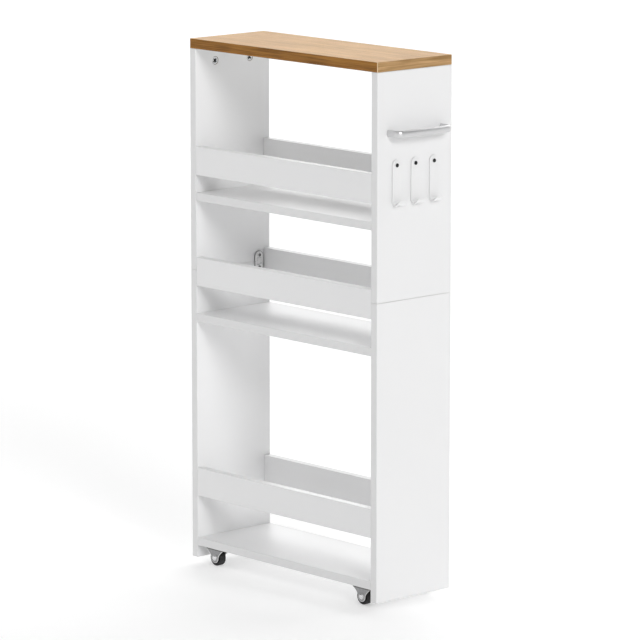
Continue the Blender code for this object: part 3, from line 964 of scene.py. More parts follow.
def machined(name: str, blank: bpy.types.Mesh, cutters: list[bpy.types.Mesh], edge: float) -> bpy.types.Mesh:
    """Cut shapes out of a blank, then break its edges.

    Args:
        name: The mesh's name.
        blank: A closed mesh.
        cutters: Closed meshes that are taken out of it.
        edge: The width of the bevel on every corner sharper than a rounded one.

    Returns:
        The mesh.
    """
    work = workshop_object(name, blank)
    helpers = []
    for cutter in cutters:
        helper = workshop_object(f"{name}_cutter", cutter)
        cut = work.modifiers.new("cut", "BOOLEAN")
        cut.operation = "DIFFERENCE"
        cut.solver = "EXACT"
        cut.object = helper
        helpers.append(helper)
    bevel = work.modifiers.new("edge", "BEVEL")
    bevel.width = edge
    bevel.segments = 2
    bevel.limit_method = "ANGLE"
    bevel.angle_limit = ROUND_ANGLE
    bpy.context.view_layer.update()
    mesh = evaluated_mesh(work)
    for helper in helpers:
        discard(helper)
    discard(work)
    return mesh


def moved(name: str, mesh: bpy.types.Mesh, matrix: Matrix) -> bpy.types.Mesh:
    """A copy of a mesh in another place."""
    copy = mesh.copy()
    copy.name = name
    copy.transform(matrix)
    return copy


def present(
    piece: bpy.types.Object,
    material: bpy.types.Material,
    body: str = CART,
    nodes: tuple[str, ...] = (),
) -> None:
    """Dress a finished piece and hand it to the frame.

    Args:
        piece: The piece, with its place in its mesh.
        material: Its finish.
        body: The body that it rides on.
        nodes: The nodes that it stands for.
    """
    piece.data.materials.clear()
    piece.data.materials.append(material)
    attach(piece, body)
    if nodes:
        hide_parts(*nodes)
    log.info("%s rides on %s and stands for %s", piece.name, body, ", ".join(nodes) or "no node")


def dress_node(node: str, material: bpy.types.Material) -> None:
    """Give a node of the frame a better material."""
    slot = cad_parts[node].material_slots[0]
    slot.link = "OBJECT"
    slot.material = material
    log.info("%s keeps its own shape", node)


@dataclass(frozen=True)
class Place:
    """Where a repeated piece stands and which way its top looks."""

    point: Vector
    facing: Vector
    twist: float = 0.0

    @property
    def turn(self) -> Quaternion:
        """The turn that takes Z onto the facing, after the twist about it."""
        return self.facing.to_track_quat("Z", "Y") @ Quaternion((0, 0, 1), self.twist)

    @property
    def matrix(self) -> Matrix:
        """The turn and the move in one."""
        return Matrix.Translation(self.point) @ self.turn.to_matrix().to_4x4()


# ------------------------------
# Geometry Nodes
# ------------------------------


class GeometryTree(NodeTree):
    """A Geometry Nodes group with named sizes, which makes one plain mesh."""

    def __init__(self, name: str) -> None:
        """Start a group that takes a host's geometry and gives geometry back."""
        self.group = bpy.data.node_groups.new(name, "GeometryNodeTree")
        super().__init__(self.group)
        self.given = {}
        self.entry = self.group.nodes.new("NodeGroupInput")
        self.exit = self.group.nodes.new("NodeGroupOutput")
        self.group.interface.new_socket("Geometry", in_out="OUTPUT", socket_type="NodeSocketGeometry")
        self.host = self.input("Host", "NodeSocketGeometry")

    def input(self, name: str, kind: str, value: object = None) -> Value:
        """A named input.

        Args:
            name: The input's name.
            kind: Its socket type.
            value: What this run gives it, set by the socket's identifier.

        Returns:
            The input inside the group.
        """
        socket = self.group.interface.new_socket(name, in_out="INPUT", socket_type=kind)
        if value is not None:
            self.given[socket.identifier] = value
        inner = next(s for s in self.entry.outputs if s.identifier == socket.identifier)
        return Value(self, inner)

    def sizes(self, piece: object) -> dict[str, Value]:
        """A named input for each number of a dataclass.

        Args:
            piece: A dataclass instance. Its whole numbers become counts and its other numbers become sizes.

        Returns:
            The inputs by field name.
        """
        made = {}
        for size in fields(piece):
            value = getattr(piece, size.name)
            if isinstance(value, int):
                made[size.name] = self.input(size.name, "NodeSocketInt", value)
            elif isinstance(value, float):
                made[size.name] = self.input(size.name, "NodeSocketFloat", value)
        return made

    def shift(self, geometry: Value, height: Number) -> Value:
        """Geometry raised along Z."""
        raised = self.node("ShaderNodeCombineXYZ", {}, {"Z": height})
        return self.node("GeometryNodeTransform", {}, {"Geometry": geometry, "Translation": raised})

    def block(self, x: Number, y: Number, z: Number) -> Value:
        """A block about the origin."""
        size = self.node("ShaderNodeCombineXYZ", {}, {"X": x, "Y": y, "Z": z})
        return self.node("GeometryNodeMeshCube", {}, {"Size": size})

    def turned(self, profile: list[tuple[Number, Number]], sides: Number) -> Value:
        """A solid turned about Z.

        Args:
            profile: The radius and height of each ring, from the lowest cap to the top one.
            sides: The number of sides of a ring.

        Returns:
            A closed solid.
        """
        (radius, height), *rest = profile
        ring = {"Vertices": sides, "Radius": radius}
        base = self.shift(self.node("GeometryNodeMeshCircle", {"fill_type": "NGON"}, ring), height)
        underside = self.node("GeometryNodeFlipFaces", {}, {"Mesh": base})
        shape, top = base, None
        for next_radius, next_height in rest:
            rise = {"Mesh": shape, "Offset Scale": next_height - height, "Individual": False}
            if top is not None:
                rise["Selection"] = top
            shape = self.node("GeometryNodeExtrudeMesh", {"mode": "FACES"}, rise)
            top = shape.output("Top")
            spread = {"Geometry": shape, "Selection": top, "Scale": next_radius / radius}
            shape = self.node("GeometryNodeScaleElements", {"domain": "FACE"}, spread)
            radius, height = next_radius, next_height
        whole = self.node("GeometryNodeJoinGeometry", {}, {"Geometry": [shape, underside]})
        return self.node("GeometryNodeMergeByDistance", {}, {"Geometry": whole, "Distance": MERGE})

    def crossed(self, solid: Value, top: Number, length: Number, width: Number, depth: Number) -> Value:
        """A solid with a cross recess sunk in its top.

        Args:
            solid: The solid.
            top: The height of its top.
            length: The cross's reach from tip to tip.
            width: The width of an arm.
            depth: How deep it goes.

        Returns:
            The solid with the recess.
        """
        arms = [
            self.shift(self.block(length, width, depth * 2), top),
            self.shift(self.block(width, length, depth * 2), top),
        ]
        sockets = {"Mesh 1": solid, "Mesh 2": arms}
        return self.node("GeometryNodeMeshBoolean", {"operation": "DIFFERENCE", "solver": "EXACT"}, sockets)

    def scattered(self, shape: Value) -> Value:
        """Copies of a shape on the host's points, each turned by the point's own turn."""
        vectors = {"data_type": "FLOAT_VECTOR"}
        spot = {"Geometry": shape, "Name": LOCAL, "Value": self.node("GeometryNodeInputPosition")}
        shape = self.node("GeometryNodeStoreNamedAttribute", vectors | {"domain": "POINT"}, spot)
        turn = self.node("GeometryNodeInputNamedAttribute", vectors, {"Name": "turn"})
        rotation = self.node("FunctionNodeEulerToRotation", {}, {"Euler": turn})
        sockets = {"Points": self.host, "Instance": shape, "Rotation": rotation}
        return self.node("GeometryNodeInstanceOnPoints", {}, sockets)

    def run(
        self,
        name: str,
        result: Value,
        host: bpy.types.Mesh,
        material: bpy.types.Material,
    ) -> bpy.types.Object:
        """End the tree, evaluate it on a host and keep the plain mesh.

        Args:
            name: The piece's name.
            result: What the tree makes.
            host: The mesh that the tree starts from.
            material: The finish that the tree sets.

        Returns:
            The piece, with no modifier left.
        """
        finish = self.input("Finish", "NodeSocketMaterial", material)
        real = self.node("GeometryNodeRealizeInstances", {}, {"Geometry": result})
        last = self.node("GeometryNodeSetMaterial", {}, {"Geometry": real, "Material": finish})
        self.feed(self.exit.inputs[0], last)
        carrier = workshop_object(f"{name}_host", host)
        modifier = carrier.modifiers.new(name, "NODES")
        modifier.node_group = self.group
        for identifier, value in self.given.items():
            modifier[identifier] = value
        carrier.update_tag()
        bpy.context.view_layer.update()
        mesh = evaluated_mesh(carrier)
        mesh.name = name
        discard(carrier)
        return workshop_object(name, mesh)


def places_mesh(name: str, places: list[Place]) -> bpy.types.Mesh:
    """Points with a turn on each, for a tree to set its copies on."""
    mesh = bpy.data.meshes.new(name)
    mesh.from_pydata([place.point for place in places], [], [])
    turns = mesh.attributes.new("turn", "FLOAT_VECTOR", "POINT")
    turns.data.foreach_set("vector", [part for place in places for part in place.turn.to_euler()])
    return mesh


@dataclass(frozen=True)
class Screw:
    """A pan-head screw with a cross recess. Its head stands on Z = 0 and its point looks down."""

    head_radius: float
    head_height: float
    shank_radius: float
    length: float
    recess_length: float
    recess_width: float
    recess_depth: float
    sides: int = 28

    @property
    def recess(self) -> Recess:
        """Where its driver recess is."""
        return Recess(self.recess_length / 2, self.head_height)

    def shape(self, tree: GeometryTree) -> Value:
        """The screw as nodes."""
        size = tree.sizes(self)
        head, rise, shank = size["head_radius"], size["head_height"], size["shank_radius"]
        profile = [
            (shank * 0.25, -size["length"]),
            (shank, 1.5 * shank - size["length"]),
            (shank, 0.0),
            (head, 0.0),
            (head, rise * 0.35),
            (head * 0.94, rise * 0.62),
            (head * 0.82, rise * 0.84),
            (head * 0.62, rise),
        ]
        solid = tree.turned(profile, size["sides"])
        return tree.crossed(solid, rise, size["recess_length"], size["recess_width"], size["recess_depth"])


@dataclass(frozen=True)
class CamLock:
    """A cam lock: a round casting, let into its pocket, with a dished face and a cross recess."""

    radius: float
    height: float
    inset: float = 0.0008
    dish: float = 0.0004
    edge: float = 0.0004
    recess_length: float = 0.0092
    recess_width: float = 0.0034
    recess_depth: float = 0.0040
    sides: int = 40

    @property
    def recess(self) -> Recess:
        """Where its driver recess is."""
        # Painted shade outside the rim stands for the dark gap round the cam in its pocket.
        return Recess(self.recess_length / 2, -self.inset, rim=self.radius * 0.91)

    def shape(self, tree: GeometryTree) -> Value:
        """The cam lock as nodes."""
        size = tree.sizes(self)
        radius, inset, edge, dish = size["radius"], size["inset"], size["edge"], size["dish"]
        profile = [
            (radius, -size["height"]),
            (radius, -inset - edge),
            (radius - edge, -inset),
            (radius * 0.78, -inset),
            (radius * 0.73, -inset - dish),
            (radius * 0.60, -inset - dish),
            (radius * 0.56, -inset),
        ]
        solid = tree.turned(profile, size["sides"])
        return tree.crossed(solid, -inset, size["recess_length"], size["recess_width"], size["recess_depth"])


# The dome of a rivet's head from its seat to its dimple, as shares of its radius and its height.
RIVET_DOME = (
    (1.0, 0.0),
    (1.0, 0.16),
    (0.97, 0.30),
    (0.90, 0.50),
    (0.79, 0.69),
    (0.65, 0.84),
    (0.48, 0.95),
    (0.30, 1.0),
    (0.24, 0.94),
    (0.12, 0.86),
)


@dataclass(frozen=True)
class AxleRivet:
    """Half of an axle rivet: a shank and a domed head with a small dimple, standing on Z = 0."""

    shank_radius: float
    shank_length: float
    head_radius: float
    head_height: float
    sides: int = 40
    recess: None = None

    def shape(self, tree: GeometryTree) -> Value:
        """The half rivet as nodes."""
        size = tree.sizes(self)
        shank, head, rise = size["shank_radius"], size["head_radius"], size["head_height"]
        profile = [(shank, -size["shank_length"]), (shank, 0.0)]
        profile += [(head * across, rise * up) for across, up in RIVET_DOME]
        return tree.turned(profile, size["sides"])


@dataclass(frozen=True)
class Boss:
    """A pressed ring round an axle hole, standing on Z = 0."""

    outer_radius: float
    inner_radius: float
    height: float
    root: float
    sides: int = 40
    recess: None = None

    def shape(self, tree: GeometryTree) -> Value:
        """The ring as nodes."""
        size = tree.sizes(self)
        outer, inner, rise = size["outer_radius"], size["inner_radius"], size["height"]
        profile = [
            (outer, -size["root"]),
            (outer, rise * 0.15),
            (outer * 0.98, rise * 0.65),
            (outer * 0.95, rise),
            (inner * 1.02, rise),
            (inner, rise * 0.08),
        ]
        return tree.turned(profile, size["sides"])


@dataclass
class FastenerSet:
    """Equal fasteners of one body, set by one tree."""

    name: str
    pattern: Screw | CamLock | AxleRivet | Boss
    places: list[Place]
    finish: Zinc | BlackOxide
    slot: Slot
    nodes: tuple[str, ...] = ()

    def build(self) -> None:
        """Set the fasteners on the cart."""
        material = self.finish.material(self.name, self.pattern.recess)
        tree = GeometryTree(self.name)
        copies = tree.scattered(self.pattern.shape(tree))
        host = places_mesh(self.name, self.places)
        piece = tree.run(self.name, copies, host, material)
        present(piece, material, CART, self.nodes)


# ------------------------------
# Sub-assemblies
# ------------------------------


@dataclass(frozen=True)
class Carcass:
    """The boards: they keep the frame's shapes and get their laminates."""

    melamine: WhiteMelamine = WhiteMelamine()
    oak: OakLaminate = OakLaminate()
    tiers: tuple[str, ...] = ("bottom", "middle", "top")

    def build(self) -> None:
        """Dress every board, and the hidden bolts of the cam locks."""
        dress_node("top_board", self.oak.material("top_board", Box.of("top_board")))
        for end in End:
            for part in ("lower", "upper"):
                self.dress_white(f"{end.label}_{part}_panel", (Axis.Y, Axis.Z))
        for tier in self.tiers:
            self.dress_white(f"{tier}_shelf", (Axis.Y,))
            for face in Face:
                self.dress_white(f"{tier}_{face.label}_rail", (Axis.Z,))
        bolt_finish = BRIGHT_ZINC.material("cam_bolts")
        for end in End:
            for face in Face:
                dress_node(f"{end.label}_{face.label}_cam_bolt", bolt_finish)

    def dress_white(self, node: str, banded: tuple[Axis, ...]) -> None:
        """Dress one white board, whose bands are on the edges across the given axes."""
        dress_node(node, self.melamine.material(node, Box.of(node), banded))


@dataclass(frozen=True)
class CamLocks:
    """The cam locks of the end panels, and those under the shelves."""

    shelf_radius: float = 0.0075
    shelf_height: float = 0.0100
    shelf_end_inset: float = 0.024
    shelf_face_inset: float = 0.045
    play: float = 0.0003
    quarter: float = math.pi / 4

    def build(self) -> None:
        """Make both sets."""
        places, nodes = [], []
        box = Box.of("left_front_cam")
        for end in End:
            for face in Face:
                node = f"{end.label}_{face.label}_cam"
                places.append(self.panel_place(Box.of(node), end))
                nodes.append(node)
        finish, slot = CAST_ZINC, Slot.ZINC_FITTINGS
        panel_cam = CamLock(box.half.y - self.play, box.size.x)
        FastenerSet("panel_cam_locks", panel_cam, places, finish, slot, tuple(nodes)).build()
        shelf_cam = CamLock(self.shelf_radius, self.shelf_height, inset=-SKIN)
        shelf_places = [place for tier in Carcass.tiers for place in self.shelf_places(f"{tier}_shelf")]
        FastenerSet("shelf_cam_locks", shelf_cam, shelf_places, finish, slot).build()

    def panel_place(self, box: Box, end: End) -> Place:
        """The place of a cam lock on the inner face of an end panel."""
        face_x = box.high.x if end is End.LEFT else box.low.x
        point = Vector((face_x, box.centre.y, box.centre.z))
        return Place(point, Vector((end.value, 0, 0)), self.quarter)

    def shelf_places(self, node: str) -> list[Place]:
        """The places of the four cam locks under a shelf."""
        box = Box.of(node)
        places = []
        for end in End:
            x = box.low.x if end is End.LEFT else box.high.x
            for face in Face:
                y = face.value * (box.half.y - self.shelf_face_inset)
                point = Vector((x + end.value * self.shelf_end_inset, y, box.low.z))
                places.append(Place(point, Vector((0, 0, -1)), self.quarter))
        return places


@dataclass(frozen=True)
class JoiningPlates:
    """Pressed steel plates across the seams of the end panels, with their screws."""

    edge: float = 0.0004
    pocket_width: float = 0.0100
    pocket_length: float = 0.0120
    pocket_depth: float = 0.0006
    pocket_corner: float = 0.0020
    hole_radius: float = 0.0021
    screw_shank: float = 0.00175
    corner_steps: int = 12

    def build(self) -> None:
        """Make the four plates and their eight screws."""
        screw_places, screw_nodes = [], []
        first = Box.of("left_front_joining_plate")
        blank = self.plate(first, Box.of("left_front_joining_plate_upper_screw"))
        for end in End:
            for face in Face:
                node = f"{end.label}_{face.label}_joining_plate"
                box = Box.of(node)
                back_x = box.low.x if end is End.LEFT else box.high.x
                place = Place(Vector((back_x, box.centre.y, box.centre.z)), Vector((end.value, 0, 0)))
                piece = workshop_object(f"{node}_pressed", moved(node, blank, place.matrix))
                finish = PlateZinc().material(node, box, self.pocket_width, self.pocket_length)
                present(piece, finish, CART, (node,))
                for part in ("lower", "upper"):
                    screw_nodes.append(f"{node}_{part}_screw")
                    screw_places.append(self.screw_place(Box.of(screw_nodes[-1]), box, end))
        self.screws(screw_places, tuple(screw_nodes))

    def plate(self, box: Box, screw: Box) -> bpy.types.Mesh:
        """A plate on Z = 0, long along Y, with two screw holes and a pressed pocket between them."""
        width, length, thickness = box.size.y, box.size.z, box.size.x
        outline = rounded_outline(width, length, width / 2 - MERGE, self.corner_steps)
        blank = loft("plate", [outline, [point + Vector((0, 0, thickness)) for point in outline]])
        reach = screw.centre.z - box.centre.z
        cutters = [self.hole(way * reach, thickness) for way in (-1, 1)]
        corner = (self.pocket_corner, self.corner_steps // 3)
        pocket = rounded_outline(self.pocket_width, self.pocket_length, *corner)
        floor = thickness - self.pocket_depth
        rings = [[Vector((p.x, p.y, height)) for p in pocket] for height in (floor, thickness + SKIN)]
        cutters.append(loft("pocket", rings))
        return machined("plate", blank, cutters, self.edge)

    def hole(self, y: float, thickness: float) -> bpy.types.Mesh:
        """The cutter of one screw hole."""
        sides = 2 * self.corner_steps
        rings = [circle(self.hole_radius, sides, height) for height in (-SKIN, thickness + SKIN)]
        return loft("hole", [[point + Vector((0, y, 0)) for point in ring] for ring in rings])

    @staticmethod
    def screw_place(screw: Box, plate: Box, end: End) -> Place:
        """The place of a plate screw, whose head sits on the plate."""
        seat_x = plate.high.x if end is End.LEFT else plate.low.x
        point = Vector((seat_x + end.value * SKIN, screw.centre.y, screw.centre.z))
        return Place(point, Vector((end.value, 0, 0)), math.pi / 4)

    def screws(self, places: list[Place], nodes: tuple[str, ...]) -> None:
        """Set the plate screws."""
        box = Box.of(nodes[0])
        plate = Box.of("left_front_joining_plate")
        head_height = box.high.x - plate.high.x - SKIN
        screw = Screw(
            head_radius=box.half.y,
            head_height=head_height,
            shank_radius=self.screw_shank,
            length=box.size.x - head_height,
            recess_length=0.0054,
            recess_width=0.0018,
            recess_depth=0.0015,
        )
        finish, slot = POLISHED_ZINC, Slot.ZINC_FITTINGS
        FastenerSet("joining_plate_screws", screw, places, finish, slot, nodes).build()


@dataclass(frozen=True)
class PullHandle:
    """The pull handle: a flat oval bar, bent at both feet and bowed a little along its grip."""

    thickness: float = 0.007
    corner_radius: float = 0.010
    bow: float = 0.002
    roundness: float = 0.95
    bend_steps: int = 12
    straight_cuts: int = 5
    profile_sides: int = 40
    screw_shank: float = 0.002
    screw_head_height: float = 0.0024
    screw_twist: float = 0.4

    def build(self) -> None:
        """Make the handle and the two screws that hold it."""
        finish = SatinNickel().material("handle")
        box = Box.of("handle")
        tree = GeometryTree("handle_sweep")
        bar = self.sweep(tree, box)
        piece = tree.run("pull_handle", bar, self.path(box), finish)
        present(piece, finish, CART, ("handle",))
        self.screws(box)

    def path(self, box: Box) -> bpy.types.Mesh:
        """The bar's centre line with sharp corners, from foot to foot."""
        foot = box.half.y - self.thickness / 2
        bar_x = box.high.x - self.thickness / 2 - self.bow
        z = box.centre.z
        points = [(box.low.x, -foot, z), (bar_x, -foot, z), (bar_x, foot, z), (box.low.x, foot, z)]
        mesh = bpy.data.meshes.new("handle_path")
        mesh.from_pydata(points, [(0, 1), (1, 2), (2, 3)], [])
        return mesh

    def sweep(self, tree: GeometryTree, box: Box) -> Value:
        """The bar as nodes: the path, filleted and bowed, with the oval swept along it."""
        size = tree.sizes(self)
        height = tree.input("height", "NodeSocketFloat", box.size.z)
        half_grip = box.half.y - self.thickness / 2 - self.corner_radius
        grip = tree.input("half_grip", "NodeSocketFloat", half_grip)
        line = tree.node("GeometryNodeMeshToCurve", {}, {"Mesh": tree.host})
        fillet = {"Curve": line, "Count": size["bend_steps"], "Radius": size["corner_radius"]}
        line = tree.node("GeometryNodeFilletCurve", {"mode": "POLY"}, fillet)
        line = tree.node("GeometryNodeSubdivideCurve", {}, {"Curve": line, "Cuts": size["straight_cuts"]})
        here = tree.node("GeometryNodeInputPosition")
        y = tree.node("ShaderNodeSeparateXYZ", {}, {"Vector": here}).output("Y")
        share = y / grip
        rise = size["bow"] * (1 - share * share).most(0.0)
        push = tree.node("ShaderNodeCombineXYZ", {}, {"X": rise})
        line = tree.node("GeometryNodeSetPosition", {}, {"Geometry": line, "Offset": push})
        line = tree.node("GeometryNodeSetCurveNormal", {"mode": "Z_UP"}, {"Curve": line})
        oval = self.oval(tree, size, height)
        sweep = {"Curve": line, "Profile Curve": oval, "Fill Caps": True}
        return tree.node("GeometryNodeCurveToMesh", {}, sweep)

    @staticmethod
    def oval(tree: GeometryTree, size: dict[str, Value], height: Value) -> Value:
        """The bar's flat oval section, thick along X and high along Y."""
        circle_sizes = {"Resolution": size["profile_sides"], "Radius": 1.0}
        ring = tree.node("GeometryNodeCurvePrimitiveCircle", {}, circle_sizes)
        here = tree.node("ShaderNodeSeparateXYZ", {}, {"Vector": tree.node("GeometryNodeInputPosition")})
        parts = []
        for part, full in ((here, size["thickness"]), (here.output("Y"), height)):
            sign = tree.maths("SIGN", part)
            parts.append(sign * abs(part) ** size["roundness"] * full * 0.5)
        spot = tree.node("ShaderNodeCombineXYZ", {}, {"X": parts[0], "Y": parts[1]})
        return tree.node("GeometryNodeSetPosition", {}, {"Geometry": ring, "Position": spot})

    def screws(self, handle: Box) -> None:
        """Set the screws that come through the panel into the feet."""
        nodes = tuple(f"handle_{face.label}_screw" for face in Face)
        panel = Box.of("right_upper_panel")
        box = Box.of(nodes[0])
        places = []
        for node in nodes:
            seat = Vector((panel.low.x - SKIN, Box.of(node).centre.y, handle.centre.z))
            places.append(Place(seat, Vector((-1, 0, 0)), self.screw_twist))
        screw = Screw(
            head_radius=box.half.y,
            head_height=self.screw_head_height,
            shank_radius=self.screw_shank,
            length=box.size.x - self.screw_head_height,
            recess_length=0.0045,
            recess_width=0.0011,
            recess_depth=0.0015,
        )
        FastenerSet("handle_screws", screw, places, BRIGHT_ZINC, Slot.ZINC_FITTINGS, nodes).build()


@dataclass(frozen=True)
class Hooks:
    """The moulded hooks on the right-hand end, each with its black screw."""

    wall: float = 0.0025
    lip_wall: float = 0.0016
    edge: float = 0.0006
    lip_corner: float = 0.0035
    top_steps: int = 14
    bend_steps: int = 18
    edge_steps: int = 3
    screw_shank: float = 0.0018
    screw_head_height: float = 0.0018
    screw_twist: float = 0.6
    top_arc: float = math.radians(88)

    def build(self) -> None:
        """Make the hooks and their screws."""
        finish = MouldedPlastic().material("hooks")
        places, nodes = [], []
        for number in (1, 2, 3):
            node = f"hook_{number}"
            screw = Box.of(f"{node}_screw")
            box = Box.of(node)
            mesh = loft(f"{node}_moulding", self.rings(box, screw.centre.z))
            present(workshop_object(mesh.name, mesh), finish, CART, (node,))
            seat_x = box.low.x + self.wall + SKIN
            seat = Vector((seat_x, screw.centre.y, screw.centre.z))
            places.append(Place(seat, Vector((1, 0, 0)), self.screw_twist))
            nodes.append(f"{node}_screw")
        head = Box.of(nodes[0])
        screw = Screw(
            head_radius=head.half.y,
            head_height=self.screw_head_height,
            shank_radius=self.screw_shank,
            length=head.size.x - self.screw_head_height,
            recess_length=0.0036,
            recess_width=0.0010,
            recess_depth=0.0011,
        )
        FastenerSet("hook_screws", screw, places, BlackOxide(), Slot.BLACK_SCREWS, tuple(nodes)).build()

    def rings(self, box: Box, screw_z: float) -> list[list[Vector]]:
        """The hook's sections, from its round top down the back, round the bend and up to the lip.

        Args:
            box: The hook's box.
            screw_z: The height of its screw, the middle of the round top.

        Returns:
            One ring of points for each section.
        """
        half = box.half.y
        middle_x = box.low.x + self.wall / 2
        bend = (box.size.x - self.wall) / 2
        bend_z = box.low.z + bend + self.wall / 2
        stations = []
        for step in range(self.top_steps + 1):
            angle = self.top_arc * (1 - step / self.top_steps)
            point = Vector((middle_x, box.centre.y, screw_z + half * math.sin(angle)))
            stations.append((point, Vector((1, 0, 0)), half * math.cos(angle)))
        lip = self.lip_corner
        for step in range(self.bend_steps + 1):
            angle = math.pi * step / self.bend_steps
            out = Vector((math.cos(angle), 0, math.sin(angle)))
            point = Vector((middle_x + bend, box.centre.y, bend_z)) - bend * out
            left = bend * (math.pi - angle)
            across = half if left > lip else half - lip + math.sqrt(max(lip**2 - (lip - left) ** 2, 0))
            stations.append((point, out, across))
        return [self.section(*station, thickness) for station, thickness in zip(stations, self.walls())]

    def walls(self) -> list[float]:
        """The wall's thickness at each section: even down the back, then thinner towards the lip."""
        back = [self.wall] * (self.top_steps + 1)
        shares = [step / self.bend_steps for step in range(self.bend_steps + 1)]
        return back + [self.wall + (self.lip_wall - self.wall) * share**2 for share in shares]

    def section(self, middle: Vector, out: Vector, across: float, wall: float) -> list[Vector]:
        """A strip's section with round edges.

        Args:
            middle: Its centre.
            out: The direction of the wall's thickness.
            across: Half of its width along Y.
            wall: Its thickness.

        Returns:
            The section's points.
        """
        edge = min(self.edge, across * 0.9)
        outline = rounded_outline(wall, 2 * across, edge, self.edge_steps)
        return [middle + out * point.x + Vector((0, point.y, 0)) for point in outline]


